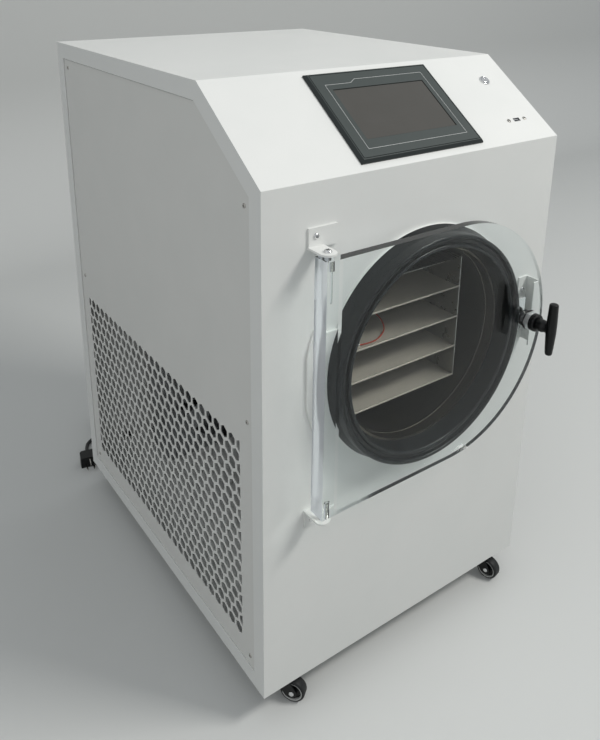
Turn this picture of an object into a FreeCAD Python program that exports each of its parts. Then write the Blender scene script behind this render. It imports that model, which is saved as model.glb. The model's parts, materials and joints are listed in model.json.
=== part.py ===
import FreeCAD, Part
import math
import os
import re
import Sketcher

# A laboratory freeze dryer: a sheet-metal cabinet on casters, with a horizontal steel chamber behind a
# clear hinged door. Millimetres, Z up, standing on the floor at Z = 0. X = 0 is the chamber's axis, and
# Y = 0 is half way between the front of the door handle and the back of the vacuum port.

vector = FreeCAD.Vector
doc = FreeCAD.newDocument("FreezeDryer")

# The driving sizes. "rise" and "foot" count up from the cabinet's underside, "setback" counts backwards
# from the front panel's face, "inset" counts inwards from the cabinet's side, and "run" and "up" count
# along the slope from its foot.
sizes = {
    "body_width": 550,
    "body_depth": 690,
    "body_height": 900,
    "slope_run": 154,
    "slope_foot": 790,
    "shell_gauge": 1.5,
    "border_width": 27,
    "ledge_width": 22,
    "panel_recess": 1.5,
    "panel_gauge": 1.2,
    "panel_gap": 1,
    "return_flange": 20,
    "tray_edge": 25,
    "vent_pitch": 44,
    "vent_hole": 35,
    "vent_rise": 38.8,
    "vent_foot": 64,
    "vent_field": 355,
    "vent_margin": 30,
    "slot_length": 90,
    "slot_height": 6,
    "slot_pitch": 18,
    "slot_rise": 60,
    "rear_gap": 0.5,
    "rear_recess": 0.3,
    "small_head": 3.4,
    "small_head_height": 1.4,
    "small_shank": 1.5,
    "side_screw_low": 46,
    "side_screw_middle": 455,
    "front_screw_drop": 28,
    "rear_screw_drop": 42,
    "front_screw_setback": 40,
    "rear_screw_margin": 46,
    "rear_screw_inset": 25.8,
    "screen_run": 94.7,
    "bezel_width": 229,
    "bezel_height": 166,
    "bezel_thick": 6,
    "bezel_chamfer": 3.5,
    "housing_width": 215,
    "housing_height": 152,
    "housing_depth": 30,
    "cutout_gap": 1,
    "screen_width": 169,
    "screen_height": 94.5,
    "screen_thick": 1.2,
    "screen_recess": 1.6,
    "control_inset": 57.5,
    "button_run": 131,
    "button_ring": 9,
    "button_barrel": 8,
    "button_depth": 22,
    "ring_height": 2,
    "cap_radius": 6.4,
    "cap_depth": 5,
    "cap_proud": 0.4,
    "cap_stroke": 1.5,
    "cap_spare": 0.3,
    "cap_round": 0.6,
    "ring_round": 0.8,
    "running_gap": 0.05,
    "port_run": 43.5,
    "port_width": 14,
    "port_height": 7,
    "port_depth": 13,
    "port_wall": 0.8,
    "port_proud": 0.6,
    "port_tongue": 1.8,
    "tongue_gap": 1,
    "port_plate_width": 48,
    "port_plate_height": 13,
    "port_plate_gauge": 1.2,
    "port_screw_spread": 18,
    "drum_rise": 512,
    "drum_radius": 150,
    "drum_wall": 3,
    "drum_depth": 380,
    "drum_clearance": 3,
    "flange_radius": 183,
    "flange_gauge": 4,
    "ear_radius": 210,
    "ear_reach": 206.5,
    "ear_height": 151,
    "jacket_thick": 25,
    "jacket_start": 8,
    "jacket_round": 12,
    "seal_radius": 177,
    "seal_depth": 29.7,
    "seal_flare": 12,
    "seal_rim_round": 3.2,
    "seal_groove_round": 1.5,
    "seal_lip_round": 2.6,
    "seal_rim": 7,
    "seal_groove": 7,
    "seal_lip": 6,
    "groove_depth": 7.7,
    "lip_drop": 2.7,
    "seal_gap": 0.3,
    "plate_thick": 13,
    "plate_left": 210,
    "plate_radius": 189.5,
    "plate_centre": 33.5,
    "bar_width": 30,
    "bar_depth": 13,
    "insert_radius": 4.5,
    "insert_length": 18,
    "pivot_radius": 3,
    "pivot_reach": 13,
    "pivot_head": 5.5,
    "pivot_head_height": 3.3,
    "tab_gap": 1.5,
    "tab_gauge": 3,
    "tab_radius": 12,
    "leg_height": 28,
    "leg_left": 206.5,
    "leg_right": 161,
    "leg_screw_across": 195,
    "leg_screw_rise": 17,
    "spacer_length": 15.2,
    "spacer_gap": 0.3,
    "front_head": 4,
    "front_head_height": 2.4,
    "front_shank": 2,
    "latch_x": 191,
    "latch_rise": 514,
    "barrel_radius": 10,
    "barrel_gap": 0.2,
    "barrel_flange": 13,
    "barrel_flange_gauge": 4,
    "barrel_front": 4,
    "nut_height": 9,
    "nut_flats": 26.5,
    "collar_radius": 14,
    "collar_height": 9,
    "collar_round": 2,
    "turn_gap": 0.3,
    "neck_length": 24.7,
    "spindle_radius": 5,
    "spindle_depth": 15,
    "handle_length": 86,
    "handle_radius": 10,
    "handle_end": 7.5,
    "handle_round": 5,
    "cam_gauge": 4,
    "cam_reach": 31,
    "cam_half_width": 8,
    "cam_gap": 1.5,
    "keeper_height": 110,
    "keeper_gauge": 2.5,
    "keeper_foot": 21,
    "keeper_lip": 16,
    "keeper_stand": 28,
    "keeper_left": 207,
    "keeper_fold": 3,
    "keeper_screw_spread": 34,
    "rack_half_width": 108,
    "rack_setback": 32,
    "rack_length": 300,
    "rack_gauge": 1.5,
    "rack_gap": 0.3,
    "shelf_count": 4,
    "shelf_gauge": 1.2,
    "shelf_lip": 3.5,
    "shelf_fold": 1.5,
    "lead_radius": 1,
    "probe_radius": 2.2,
    "probe_length": 18,
    "gland_radius": 6,
    "gland_length": 10,
    "gland_shank": 4,
    "gland_tail": 20,
    "gland_across": 30,
    "gland_lift": 36,
    "port_reach": 38,
    "vacuum_bore": 12,
    "vacuum_radius": 14,
    "vacuum_flange": 20,
    "vacuum_rim": 3,
    "vacuum_taper": 1.6,
    "compressor_x": 95,
    "compressor_gap": 74,
    "compressor_radius": 78,
    "compressor_height": 175,
    "compressor_crown": 45,
    "compressor_foot": 18,
    "foot_width": 190,
    "foot_depth": 130,
    "foot_gauge": 3,
    "foot_spread": 80,
    "foot_spread_deep": 50,
    "grommet_radius": 11,
    "grommet_height": 12,
    "condenser_width": 290,
    "condenser_height": 250,
    "condenser_depth": 40,
    "condenser_gap": 32,
    "fin_pitch": 24,
    "fin_groove": 6,
    "fin_depth": 8,
    "fan_radius": 104,
    "fan_gap": 5,
    "shroud_depth": 26,
    "motor_radius": 30,
    "motor_length": 42,
    "spider_gauge": 4,
    "spider_width": 10,
    "shaft_radius": 3,
    "hub_radius": 24,
    "hub_length": 16,
    "blade_width": 34,
    "blade_gauge": 2,
    "blade_angle": 28,
    "box_width": 120,
    "box_depth": 230,
    "box_height": 140,
    "box_gap": 10.8,
    "box_setback": 60,
    "pipe_radius": 4,
    "pipe_standoff": 40,
    "pipe_rise": 30,
    "discharge_inset": 43,
    "cable_inset": 76.8,
    "cable_rise": 38,
    "cable_radius": 4,
    "cable_shank": 8,
    "cable_nut": 11,
    "cable_nut_height": 8,
    "cable_nut_round": 1.5,
    "relief_length": 32,
    "relief_start": 7.5,
    "relief_end": 5.2,
    "coil_inner": 34,
    "coil_outer": 50,
    "coil_height": 24,
    "coil_round": 4,
    "coil_across": 46,
    "coil_behind": 190,
    "plug_half_width": 19,
    "plug_height": 25,
    "plug_depth": 30,
    "plug_round": 8,
    "plug_relief": 10,
    "plug_neck": 5.5,
    "pin_length": 20,
    "pin_width": 6.3,
    "pin_thick": 1.6,
    "pin_spread": 7.9,
    "pin_angle": 30,
    "earth_drop": 4,
    "caster_height": 52,
    "caster_inset": 50,
    "caster_setback": 28,
    "plate_length": 60,
    "plate_depth": 44,
    "plate_gauge": 2.5,
    "race_radius": 16,
    "race_height": 4.5,
    "crown_radius": 17,
    "swivel_gap": 0.3,
    "pin_radius": 4,
    "fork_gauge": 2,
    "fork_arm": 8,
    "fork_nose": 3,
    "fork_shoulder": 4,
    "fork_round": 6,
    "wheel_radius": 20,
    "wheel_width": 18,
    "wheel_side_gap": 0.6,
    "rim_radius": 13.5,
    "hub_boss": 7,
    "web_depth": 4,
    "tread_round": 4,
    "axle_radius": 3,
    "axle_head": 1.2,
    "trail_length": 20,
}
sheet = doc.addObject("Spreadsheet::Sheet", "Dims")
for row, (name, size) in enumerate(sizes.items(), 1):
    sheet.set(f"A{row}", name)
    sheet.set(f"B{row}", str(size))
    sheet.setAlias(f"B{row}", name)
doc.recompute()

# How far a cutting tool runs past the face that it opens.
past = "1"

# Places that several pieces share, as expressions of the sizes.
reach = ("(flange_gauge + seal_depth + seal_gap + plate_thick + nut_height + collar_height + turn_gap"
         " + neck_length + handle_radius)")
front = f"(({reach} - body_depth - port_reach) / 2)"
rear = f"({front} + body_depth)"
base = "caster_height"
top = "(caster_height + body_height)"
slope = "atan((body_height - slope_foot) / slope_run)"
half = "(body_width / 2)"
joggle = "(panel_recess + panel_gauge + shell_gauge)"
inside = f"({half} - {joggle})"
floor_pan = f"({base} + shell_gauge)"
drum_z = f"({base} + drum_rise)"
plate_back = "(flange_gauge + seal_depth + seal_gap)"
plate_front = f"({plate_back} + plate_thick)"
pivot_x = "(plate_left - bar_width / 2)"
pivot_out = f"({plate_back} - bar_depth / 2)"
door_top = f"({drum_z} + plate_radius)"
door_foot = f"({drum_z} - plate_radius)"
nut_front = f"({plate_front} + nut_height)"
collar_front = f"({nut_front} + collar_height)"
neck_back = f"({collar_front} + turn_gap)"
handle_out = f"({neck_back} + neck_length)"
cam_front = "(keeper_stand - keeper_gauge - cam_gap)"
latch_z = f"({base} + latch_rise)"
control_x = f"({half} - control_inset)"
cable_x = f"({inside} - cable_inset)"
rear_screw_x = f"({inside} - rear_screw_inset)"
caster_x = f"({half} - caster_inset)"
box_x = f"({inside} - box_gap - box_width / 2)"
condenser_setback = "(body_depth - condenser_gap - condenser_depth)"
compressor_setback = f"({condenser_setback} - shroud_depth - compressor_gap - compressor_radius)"
rack_half_height = "sqrt((drum_radius - rack_gap)^2 - rack_half_width^2)"
condenser_z = f"({floor_pan} + condenser_height / 2)"


def refer(text):
    """Turn the names of sizes in an expression into references to the sheet."""
    return re.sub(r"\b([a-z]+(?:_[a-z]+)+)\b", r"Dims.\1", str(text))


def value(text):
    return float(sheet.evalExpression(refer(text)))


def bind(item, **properties):
    for name, text in properties.items():
        item.setExpression(name, refer(text))
    return item


def place(item, x=0, y=0, z=0):
    """Set where an object stands, keeping its rotation."""
    for axis, text in zip("xyz", (x, y, z)):
        item.setExpression(f"Placement.Base.{axis}", refer(text))
    return item


def turn(item, axis, angle):
    """Turn an object about an axis through its own origin."""
    item.Placement = FreeCAD.Placement(vector(), FreeCAD.Rotation(vector(*axis), 1))
    item.setExpression("Placement.Rotation.Angle", refer(angle))
    return item


def on_panel(item, x, z, out=0):
    """Stand an object on the front panel, its own Z pointing at the user."""
    turn(item, (1, 0, 0), "90")
    return place(item, x, f"{front} - ({out})", z)


def on_slope(item, x, up):
    """Stand an object on the sloping panel, its own Z pointing out of the panel."""
    turn(item, (1, 0, 0), slope)
    return place(item, x, f"{front} + ({up}) * cos({slope})", f"{base} + slope_foot + ({up}) * sin({slope})")


def block(x, y, z):
    """A box between a low and a high value on each axis."""
    item = doc.addObject("Part::Box", "Block")
    bind(item, Length=f"({x[1]}) - ({x[0]})", Width=f"({y[1]}) - ({y[0]})", Height=f"({z[1]}) - ({z[0]})")
    return place(item, x[0], y[0], z[0])


def middle_block(width, height, low, high):
    """A box centred on its own Z axis."""
    return block((f"-({width}) / 2", f"({width}) / 2"), (f"-({height}) / 2", f"({height}) / 2"), (low, high))


def rod(radius, low, high, x=0, y=0):
    """A cylinder along Z."""
    item = doc.addObject("Part::Cylinder", "Rod")
    bind(item, Radius=radius, Height=f"({high}) - ({low})")
    return place(item, x, y, low)


def rod_along(axis, radius, low, high, across, z):
    """A cylinder along X or Y, with its place on the other axis and its height."""
    item = doc.addObject("Part::Cylinder", "Rod")
    bind(item, Radius=radius, Height=f"({high}) - ({low})")
    if axis == "X":
        return place(turn(item, (0, 1, 0), "90"), low, across, z)
    return place(turn(item, (-1, 0, 0), "90"), across, low, z)


def drill(radius, low, high, x, z):
    """The tool for a hole along Y, from just before one face to just past another."""
    return rod_along("Y", radius, f"{low} - {past}", f"{high} + {past}", x, z)


def fuse(*items):
    item = doc.addObject("Part::MultiFuse", "Joined")
    item.Shapes = list(items)
    item.Refine = True
    return item


def cut(body, *tools):
    item = doc.addObject("Part::Cut", "Cut")
    item.Base = body
    item.Tool = tools[0] if len(tools) == 1 else fuse(*tools)
    item.Refine = True
    return item


def common(first, second):
    item = doc.addObject("Part::Common", "Common")
    item.Base = first
    item.Tool = second
    return item


def group(*items):
    """Separate solids that share one node."""
    item = doc.addObject("Part::Compound", "Group")
    item.Links = list(items)
    return item


def begin_sketch(body, role):
    sketch = body.newObject("Sketcher::SketchObject", "Outline")
    plane = [feature for feature in body.Origin.OriginFeatures if feature.Role == role][0]
    sketch.AttachmentSupport = [(plane, "")]
    sketch.MapMode = "FlatFace"
    doc.recompute()
    return sketch


def hold_point(sketch, geometry, point, corner):
    """Tie one point of a sketch to the expressions of its two coordinates."""
    for kind, text in zip(("DistanceX", "DistanceY"), corner):
        number = sketch.addConstraint(Sketcher.Constraint(kind, -1, 1, geometry, point, value(text)))
        sketch.setExpression(f"Constraints[{number}]", refer(text))


def draw(sketch, corners):
    """Draw a closed outline. A corner is (u, v), or (u, v, radius) where it is rounded."""
    spots = [vector(value(corner[0]), value(corner[1]), 0) for corner in corners]
    radii = [value(corner[2]) if len(corner) > 2 else 0 for corner in corners]
    count = len(spots)
    into = [(spots[i] - spots[i - 1]).normalize() for i in range(count)]
    trims = []
    for i in range(count):
        bend = into[i].getAngle(into[(i + 1) % count])
        trims.append(radii[i] * math.tan(bend / 2))
    lines = []
    for i in range(count):
        after = (i + 1) % count
        start = spots[i] + into[after] * trims[i]
        end = spots[after] - into[after] * trims[after]
        lines.append(sketch.addGeometry(Part.LineSegment(start, end), False))
    for i in range(count):
        before = lines[i - 1]
        here = lines[i]
        if not radii[i]:
            sketch.addConstraint(Sketcher.Constraint("Coincident", before, 2, here, 1))
            hold_point(sketch, here, 1, corners[i])
            continue
        left_turn = into[i].cross(into[(i + 1) % count]).z > 0
        side = vector(-into[i].y, into[i].x, 0) * (1 if left_turn else -1)
        centre = spots[i] - into[i] * trims[i] + side * radii[i]
        first = spots[i] - into[i] * trims[i] - centre
        last = spots[i] + into[(i + 1) % count] * trims[i] - centre
        if not left_turn:
            first, last = last, first
        angles = [math.atan2(arm.y, arm.x) for arm in (first, last)]
        circle = Part.Circle(centre, vector(0, 0, 1), radii[i])
        arc = sketch.addGeometry(Part.ArcOfCircle(circle, angles[0], angles[1]), False)
        corner_point = sketch.addGeometry(Part.Point(spots[i]), True)
        ends = (1, 2) if left_turn else (2, 1)
        sketch.addConstraint(Sketcher.Constraint("Tangent", before, 2, arc, ends[0]))
        sketch.addConstraint(Sketcher.Constraint("Tangent", here, 1, arc, ends[1]))
        sketch.addConstraint(Sketcher.Constraint("PointOnObject", corner_point, 1, before))
        sketch.addConstraint(Sketcher.Constraint("PointOnObject", corner_point, 1, here))
        number = sketch.addConstraint(Sketcher.Constraint("Radius", arc, radii[i]))
        sketch.setExpression(f"Constraints[{number}]", refer(corners[i][2]))
        hold_point(sketch, corner_point, 1, corners[i])


def prism(plane, corners, low, high):
    """Push an outline along the normal of its plane: YZ along X, XZ along Y, XY along Z."""
    body = doc.addObject("PartDesign::Body", "Prism")
    sketch = begin_sketch(body, f"{plane}_Plane")
    draw(sketch, corners)
    pad = body.newObject("PartDesign::Pad", "Pad")
    pad.Profile = sketch
    pad.Reversed = plane == "XZ"
    pad.setExpression("Length", refer(f"({high}) - ({low})"))
    spot = {"YZ": (low, 0, 0), "XZ": (0, low, 0), "XY": (0, 0, low)}[plane]
    return place(body, *spot)


def turned(corners):
    """Turn an outline of (radius, height) corners about Z."""
    body = doc.addObject("PartDesign::Body", "Turned")
    sketch = begin_sketch(body, "XZ_Plane")
    draw(sketch, corners)
    spin = body.newObject("PartDesign::Revolution", "Revolution")
    spin.Profile = sketch
    spin.ReferenceAxis = (sketch, ["V_Axis"])
    spin.Angle = 360
    return body


def hexagon(flats, low, high):
    item = doc.addObject("Part::Prism", "Hexagon")
    item.Polygon = 6
    bind(item, Circumradius=f"({flats}) / 2 / cos(30)", Height=f"({high}) - ({low})")
    return place(item, 0, 0, low)


def round_path(points, radius_of):
    """Straight runs through the points, joined by tangent arcs."""
    runs = [points[i + 1] - points[i] for i in range(len(points) - 1)]
    edges = []
    start = points[0]
    radii = []
    for i in range(1, len(points) - 1):
        before = vector(runs[i - 1]).normalize()
        after = vector(runs[i]).normalize()
        bend = before.getAngle(after)
        radius = radius_of(min(runs[i - 1].Length, runs[i].Length), bend)
        trim = radius * math.tan(bend / 2)
        enter = points[i] - before * trim
        leave = points[i] + after * trim
        inward = (after - before).normalize()
        centre = points[i] + inward * (radius / math.cos(bend / 2))
        crest = centre - inward * radius
        edges.append(Part.LineSegment(start, enter).toShape())
        edges.append(Part.Arc(enter, crest, leave).toShape())
        start = leave
        radii.append(radius)
    edges.append(Part.LineSegment(start, points[-1]).toShape())
    return Part.Wire(edges), radii


def pipe(points, radius, radius_of, title):
    """A round tube, cord or wire along straight runs and arcs, made solid."""
    wire, radii = round_path(points, radius_of)
    section = Part.Wire(Part.Circle(points[0], points[1] - points[0], radius).toShape())
    item = doc.addObject("Part::Feature", "Pipe")
    item.Shape = wire.makePipeShell([section], True, True)
    share = item.Shape.Volume / (math.pi * radius**2 * wire.Length)
    print(f"{title}: length {wire.Length:.1f}, bend radii {[round(r, 1) for r in radii]}, volume {share:.4f}")
    return item


def cord_bend(run, bend):
    """The largest arc that the shorter of two runs allows."""
    return 0.45 * run / math.tan(bend / 2)


def profile(inset):
    """The cabinet's side view with every edge moved inwards."""
    inset = f"({inset})"
    lift = f"({inset} * (tan({slope}) - 1 / cos({slope})))"
    crest = f"((body_height - {inset} - slope_foot + {inset} / cos({slope})) / tan({slope}))"
    return [
        (f"{front} + {inset}", f"{base} + {inset}"),
        (f"{rear} - {inset}", f"{base} + {inset}"),
        (f"{rear} - {inset}", f"{top} - {inset}"),
        (f"{front} + {crest}", f"{top} - {inset}"),
        (f"{front} + {inset}", f"{base} + slope_foot + {lift}"),
    ]


parts = {}


def keep(name, item):
    item.Label = name
    parts[name] = item
    return item


# Cabinet. The side borders are folded back round a hollow and end in a ledge that carries the panel.
over = "shell_gauge"
side_screw_places = [
    ("front_screw_setback", "side_screw_low"),
    ("front_screw_setback", "side_screw_middle"),
    ("front_screw_setback", "slope_foot - front_screw_drop"),
    ("body_depth - rear_screw_margin", "side_screw_low"),
    ("body_depth - rear_screw_margin", "side_screw_middle"),
    ("body_depth - rear_screw_margin", "body_height - rear_screw_drop"),
]
rear_screw_rises = ["tray_edge / 2 + shell_gauge", "body_height - return_flange / 2 - shell_gauge"]
leg_screw_x = "-leg_screw_across"
leg_screw_zs = [f"{door_top} + tab_gap + leg_screw_rise",
                f"{door_foot} - spacer_gap - spacer_length - leg_screw_rise"]
keeper_screw_zs = [f"{drum_z} - keeper_screw_spread", f"{drum_z} + keeper_screw_spread"]
keeper_screw_x = "keeper_left + (keeper_foot - keeper_gauge) / 2"


def side_screw_rods(radius, low, high):
    """One rod for each screw of both side panels, between two distances from the middle."""
    rods = []
    for setback, rise in side_screw_places:
        y = f"{front} + {setback}"
        rods.append(rod_along("X", radius, low, high, y, f"{base} + {rise}"))
        rods.append(rod_along("X", radius, f"-({high})", f"-({low})", y, f"{base} + {rise}"))
    return rods


def make_cabinet_shell():
    skin = prism("YZ", profile("0"), f"-{half}", half)
    room = [
        (f"{front} + {over}", f"{base} - {over}"),
        (f"{rear} + {over}", f"{base} - {over}"),
        (f"{rear} + {over}", f"{top} - {over}"),
        profile(over)[3],
        profile(over)[4],
    ]
    hollow = prism("YZ", room, f"-{inside}", inside)
    border_room = prism("YZ", profile(over), f"-({half} - {over})", f"{half} - {over}")
    border_core = prism("YZ", profile(f"border_width - {over}"), f"-({half} - {over})", f"{half} - {over}")
    tools = [hollow, cut(border_room, border_core)]
    ledge_face = f"({inside} + {over})"
    for low, high in ((ledge_face, half), (f"-{half}", f"-{ledge_face}")):
        tools.append(prism("YZ", profile("border_width"), low, high))
    tools.append(prism("YZ", profile("border_width + ledge_width"), f"-{half}", half))
    tools.append(drill("drum_radius + drum_wall + drum_clearance", front, f"{front} + {over}", "0", drum_z))
    low, high = f"-{over} - {past}", past
    cutout_width, cutout_height = "housing_width + 2 * cutout_gap", "housing_height + 2 * cutout_gap"
    tools.append(on_slope(group(middle_block(cutout_width, cutout_height, low, high)), "0", "screen_run"))
    tools.append(on_slope(group(rod("button_barrel", low, high)), control_x, "button_run"))
    port_hole = middle_block("port_width", "port_height", low, high)
    port_screws = [rod("small_shank", low, high, x) for x in ("-port_screw_spread", "port_screw_spread")]
    tools.append(on_slope(group(port_hole, *port_screws), control_x, "port_run"))
    for x, zs in ((leg_screw_x, leg_screw_zs), (keeper_screw_x, keeper_screw_zs)):
        for z in zs:
            tools.append(drill("front_shank", front, f"{front} + {over}", x, z))
    tools += side_screw_rods("small_shank", f"{inside} - {past}", half)
    flange = block((f"-{inside}", inside), (f"{rear} - 2 * {over}", f"{rear} - {over}"),
                   (f"{top} - {over} - return_flange", f"{top} - {over}"))
    for x in (f"-{rear_screw_x}", "0", rear_screw_x):
        z = f"{base} + {rear_screw_rises[1]}"
        tools.append(rod_along("Y", "small_shank", f"{rear} - 3 * {over}", rear, x, z))
    keep("cabinet_shell", cut(fuse(cut(skin, tools[0]), flange), *tools[1:]))


def make_base_tray():
    x, y = (f"-{inside}", inside), (f"{front} + {over}", f"{rear} - {over}")
    outer = block(x, y, (base, f"{base} + tray_edge"))
    inner = block((f"{x[0]} + {over}", f"{x[1]} - {over}"), (f"{y[0]} + {over}", f"{y[1]} - {over}"),
                  (floor_pan, f"{base} + tray_edge + {past}"))
    holes = [rod_along("Y", "small_shank", f"{rear} - 3 * {over}", rear, x, f"{base} + {rear_screw_rises[0]}")
             for x in (f"-{rear_screw_x}", "0", rear_screw_x)]
    keep("base_tray", cut(outer, inner, *holes))


def make_rear_panel():
    low, high = f"{rear} - {over}", f"{rear} - rear_recess"
    sheet_x = f"{inside} - rear_gap"
    panel = block((f"-({sheet_x})", sheet_x), (low, high),
                  (f"{base} + rear_gap", f"{top} - {over} - rear_gap"))
    tools = []
    slot_rows = 6
    for side in ("-0.5", "0.5"):
        for row in range(slot_rows):
            middle = f"{side} * (slot_length + slot_pitch)"
            z = f"{condenser_z} - slot_rise + {row} * slot_pitch"
            tools.append(block((f"{middle} - slot_length / 2", f"{middle} + slot_length / 2"),
                               (f"{low} - {past}", f"{high} + {past}"), (z, f"{z} + slot_height")))
    tools.append(drill("vacuum_radius", low, high, "0", drum_z))
    tools.append(drill("cable_shank", low, high, f"-{cable_x}", f"{base} + cable_rise"))
    for rise in rear_screw_rises:
        for x in (f"-{rear_screw_x}", "0", rear_screw_x):
            tools.append(drill("small_shank", low, high, x, f"{base} + {rise}"))
    keep("rear_panel", cut(panel, *tools))


def hexagon_hole(x, y, z, flats):
    """An upright hexagon, point up, in a plane across X."""
    corner = flats / 2 / math.cos(math.radians(30))
    turns = [math.radians(60 * i) for i in range(7)]
    spots = [vector(x, y + corner * math.sin(turn), z + corner * math.cos(turn)) for turn in turns]
    return Part.makePolygon(spots)


def make_side_panel(name, low, high):
    """A flat sheet with a staggered field of hexagons, punched as one face and given its thickness."""
    x = value(low)
    outline = [vector(x, value(y), value(z)) for y, z in profile("border_width + panel_gap")]
    wires = [Part.makePolygon(outline + outline[:1])]
    pitch, flats, rise = value("vent_pitch"), value("vent_hole"), value("vent_rise")
    corner_to_corner = flats / math.cos(math.radians(30))
    width = value("body_depth - 2 * (border_width + panel_gap + vent_margin)") - flats
    columns = int(width / pitch) + 1
    rows = int((value("vent_field") - corner_to_corner) / rise) + 1
    middle = value(f"{front} + body_depth / 2")
    first_row = value(f"{base} + vent_foot") + corner_to_corner / 2
    for row in range(rows):
        count = columns - row % 2
        for column in range(count):
            y = middle + (column - (count - 1) / 2) * pitch
            wires.append(hexagon_hole(x, y, first_row + row * rise, flats))
    for setback, rise_of_screw in side_screw_places:
        spot = vector(x, value(f"{front} + {setback}"), value(f"{base} + {rise_of_screw}"))
        wires.append(Part.Wire(Part.Circle(spot, vector(1, 0, 0), value("small_shank")).toShape()))
    item = doc.addObject("Part::Feature", "Sheet")
    item.Shape = Part.makeFace(wires, "Part::FaceMakerBullseye").extrude(vector(value(high) - x, 0, 0))
    keep(name, item)


def make_cabinet_screws():
    """Pan-head screws of the side and rear panels, the data port, the hinge brackets and the keeper."""
    panel_face = f"({half} - panel_recess)"
    heads = side_screw_rods("small_head", panel_face, f"{panel_face} + small_head_height")
    shanks = side_screw_rods("small_shank", inside, panel_face)
    screws = [fuse(head, shank) for head, shank in zip(heads, shanks)]
    face = f"({rear} - rear_recess)"
    for rise in rear_screw_rises:
        for x in (f"-{rear_screw_x}", "0", rear_screw_x):
            z = f"{base} + {rise}"
            head = rod_along("Y", "small_head", face, f"{face} + small_head_height", x, z)
            shank = rod_along("Y", "small_shank", f"{rear} - 2 * {over}", face, x, z)
            screws.append(fuse(head, shank))
    for x in ("-port_screw_spread", "port_screw_spread"):
        head = rod("small_head", "0", "small_head_height", x)
        shank = rod("small_shank", f"-{over} - port_plate_gauge", "0", x)
        screws.append(on_slope(group(fuse(head, shank)), control_x, "port_run"))
    seats = [(leg_screw_x, z, "tab_gauge") for z in leg_screw_zs]
    seats += [(keeper_screw_x, z, "keeper_gauge") for z in keeper_screw_zs]
    for x, z, under in seats:
        face = f"({front} - {under})"
        head = rod_along("Y", "front_head", f"{face} - front_head_height", face, x, z)
        screws.append(fuse(head, rod_along("Y", "front_shank", face, f"{front} + 2 * {over}", x, z)))
    keep("cabinet_screws", group(*screws))


make_cabinet_shell()
make_base_tray()
make_rear_panel()
make_side_panel("left_side_panel", f"-({half} - panel_recess)", f"-({inside} + {over})")
make_side_panel("right_side_panel", f"{inside} + {over}", f"{half} - panel_recess")
make_cabinet_screws()


# Controls on the slope.
def make_touch_panel():
    bezel = middle_block("bezel_width", "bezel_height", "0", "bezel_thick")
    doc.recompute()
    rim = [i + 1 for i, edge in enumerate(bezel.Shape.Edges) if edge.BoundBox.ZMin > value("bezel_thick") / 2]
    eased = doc.addObject("Part::Chamfer", "Eased")
    eased.Base = bezel
    chamfer = value("bezel_chamfer")
    eased.Edges = [(number, chamfer, chamfer) for number in rim]
    housing = middle_block("housing_width", "housing_height", "-housing_depth", "0")
    window = middle_block("screen_width", "screen_height", "bezel_thick - screen_recess",
                          f"bezel_thick + {past}")
    whole = cut(fuse(eased, housing), window)
    keep("touch_panel_housing", on_slope(whole, "0", "screen_run"))
    floor = "(bezel_thick - screen_recess)"
    screen = middle_block("screen_width", "screen_height", floor, f"{floor} + screen_thick")
    keep("touch_panel_screen", on_slope(group(screen), "0", "screen_run"))


def make_power_button():
    bore = "(cap_radius + running_gap)"
    floor = "(ring_height + cap_proud - cap_depth - cap_stroke - cap_spare)"
    housing = turned([
        ("0", "-button_depth"),
        ("button_barrel", "-button_depth"),
        ("button_barrel", "0"),
        ("button_ring", "0"),
        ("button_ring", "ring_height", "ring_round"),
        (bore, "ring_height"),
        (bore, floor),
        ("0", floor),
    ])
    keep("power_button_housing", on_slope(group(housing), control_x, "button_run"))
    crown = "(ring_height + cap_proud)"
    cap = turned([("0", f"{crown} - cap_depth"), ("cap_radius", f"{crown} - cap_depth"),
                  ("cap_radius", crown, "cap_round"), ("0", crown)])
    keep("power_button_cap", on_slope(group(cap), control_x, "button_run"))


def make_data_port():
    mouth = middle_block("port_width - 2 * port_wall", "port_height - 2 * port_wall",
                         "port_wall - port_depth", f"port_proud + {past}")
    shell = middle_block("port_width", "port_height", "-port_depth", "port_proud")
    back = f"(-{over})"
    lug = middle_block("port_plate_width", "port_plate_height", f"{back} - port_plate_gauge", back)
    tongue = block(("port_wall - port_width / 2 + tongue_gap", "port_width / 2 - port_wall - tongue_gap"),
                   ("0", "port_tongue"), ("-port_depth + port_wall", "-port_proud"))
    holes = [rod("small_shank", f"{back} - 2 * port_plate_gauge", "0", x)
             for x in ("-port_screw_spread", "port_screw_spread")]
    keep("data_port", on_slope(fuse(cut(fuse(shell, lug), mouth, *holes), tongue), control_x, "port_run"))


make_touch_panel()
make_power_button()
make_data_port()

# Vacuum chamber.
drum_outer = "(drum_radius + drum_wall)"
drum_back = "(-drum_depth - drum_wall)"
gland_x = "-gland_across"


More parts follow.
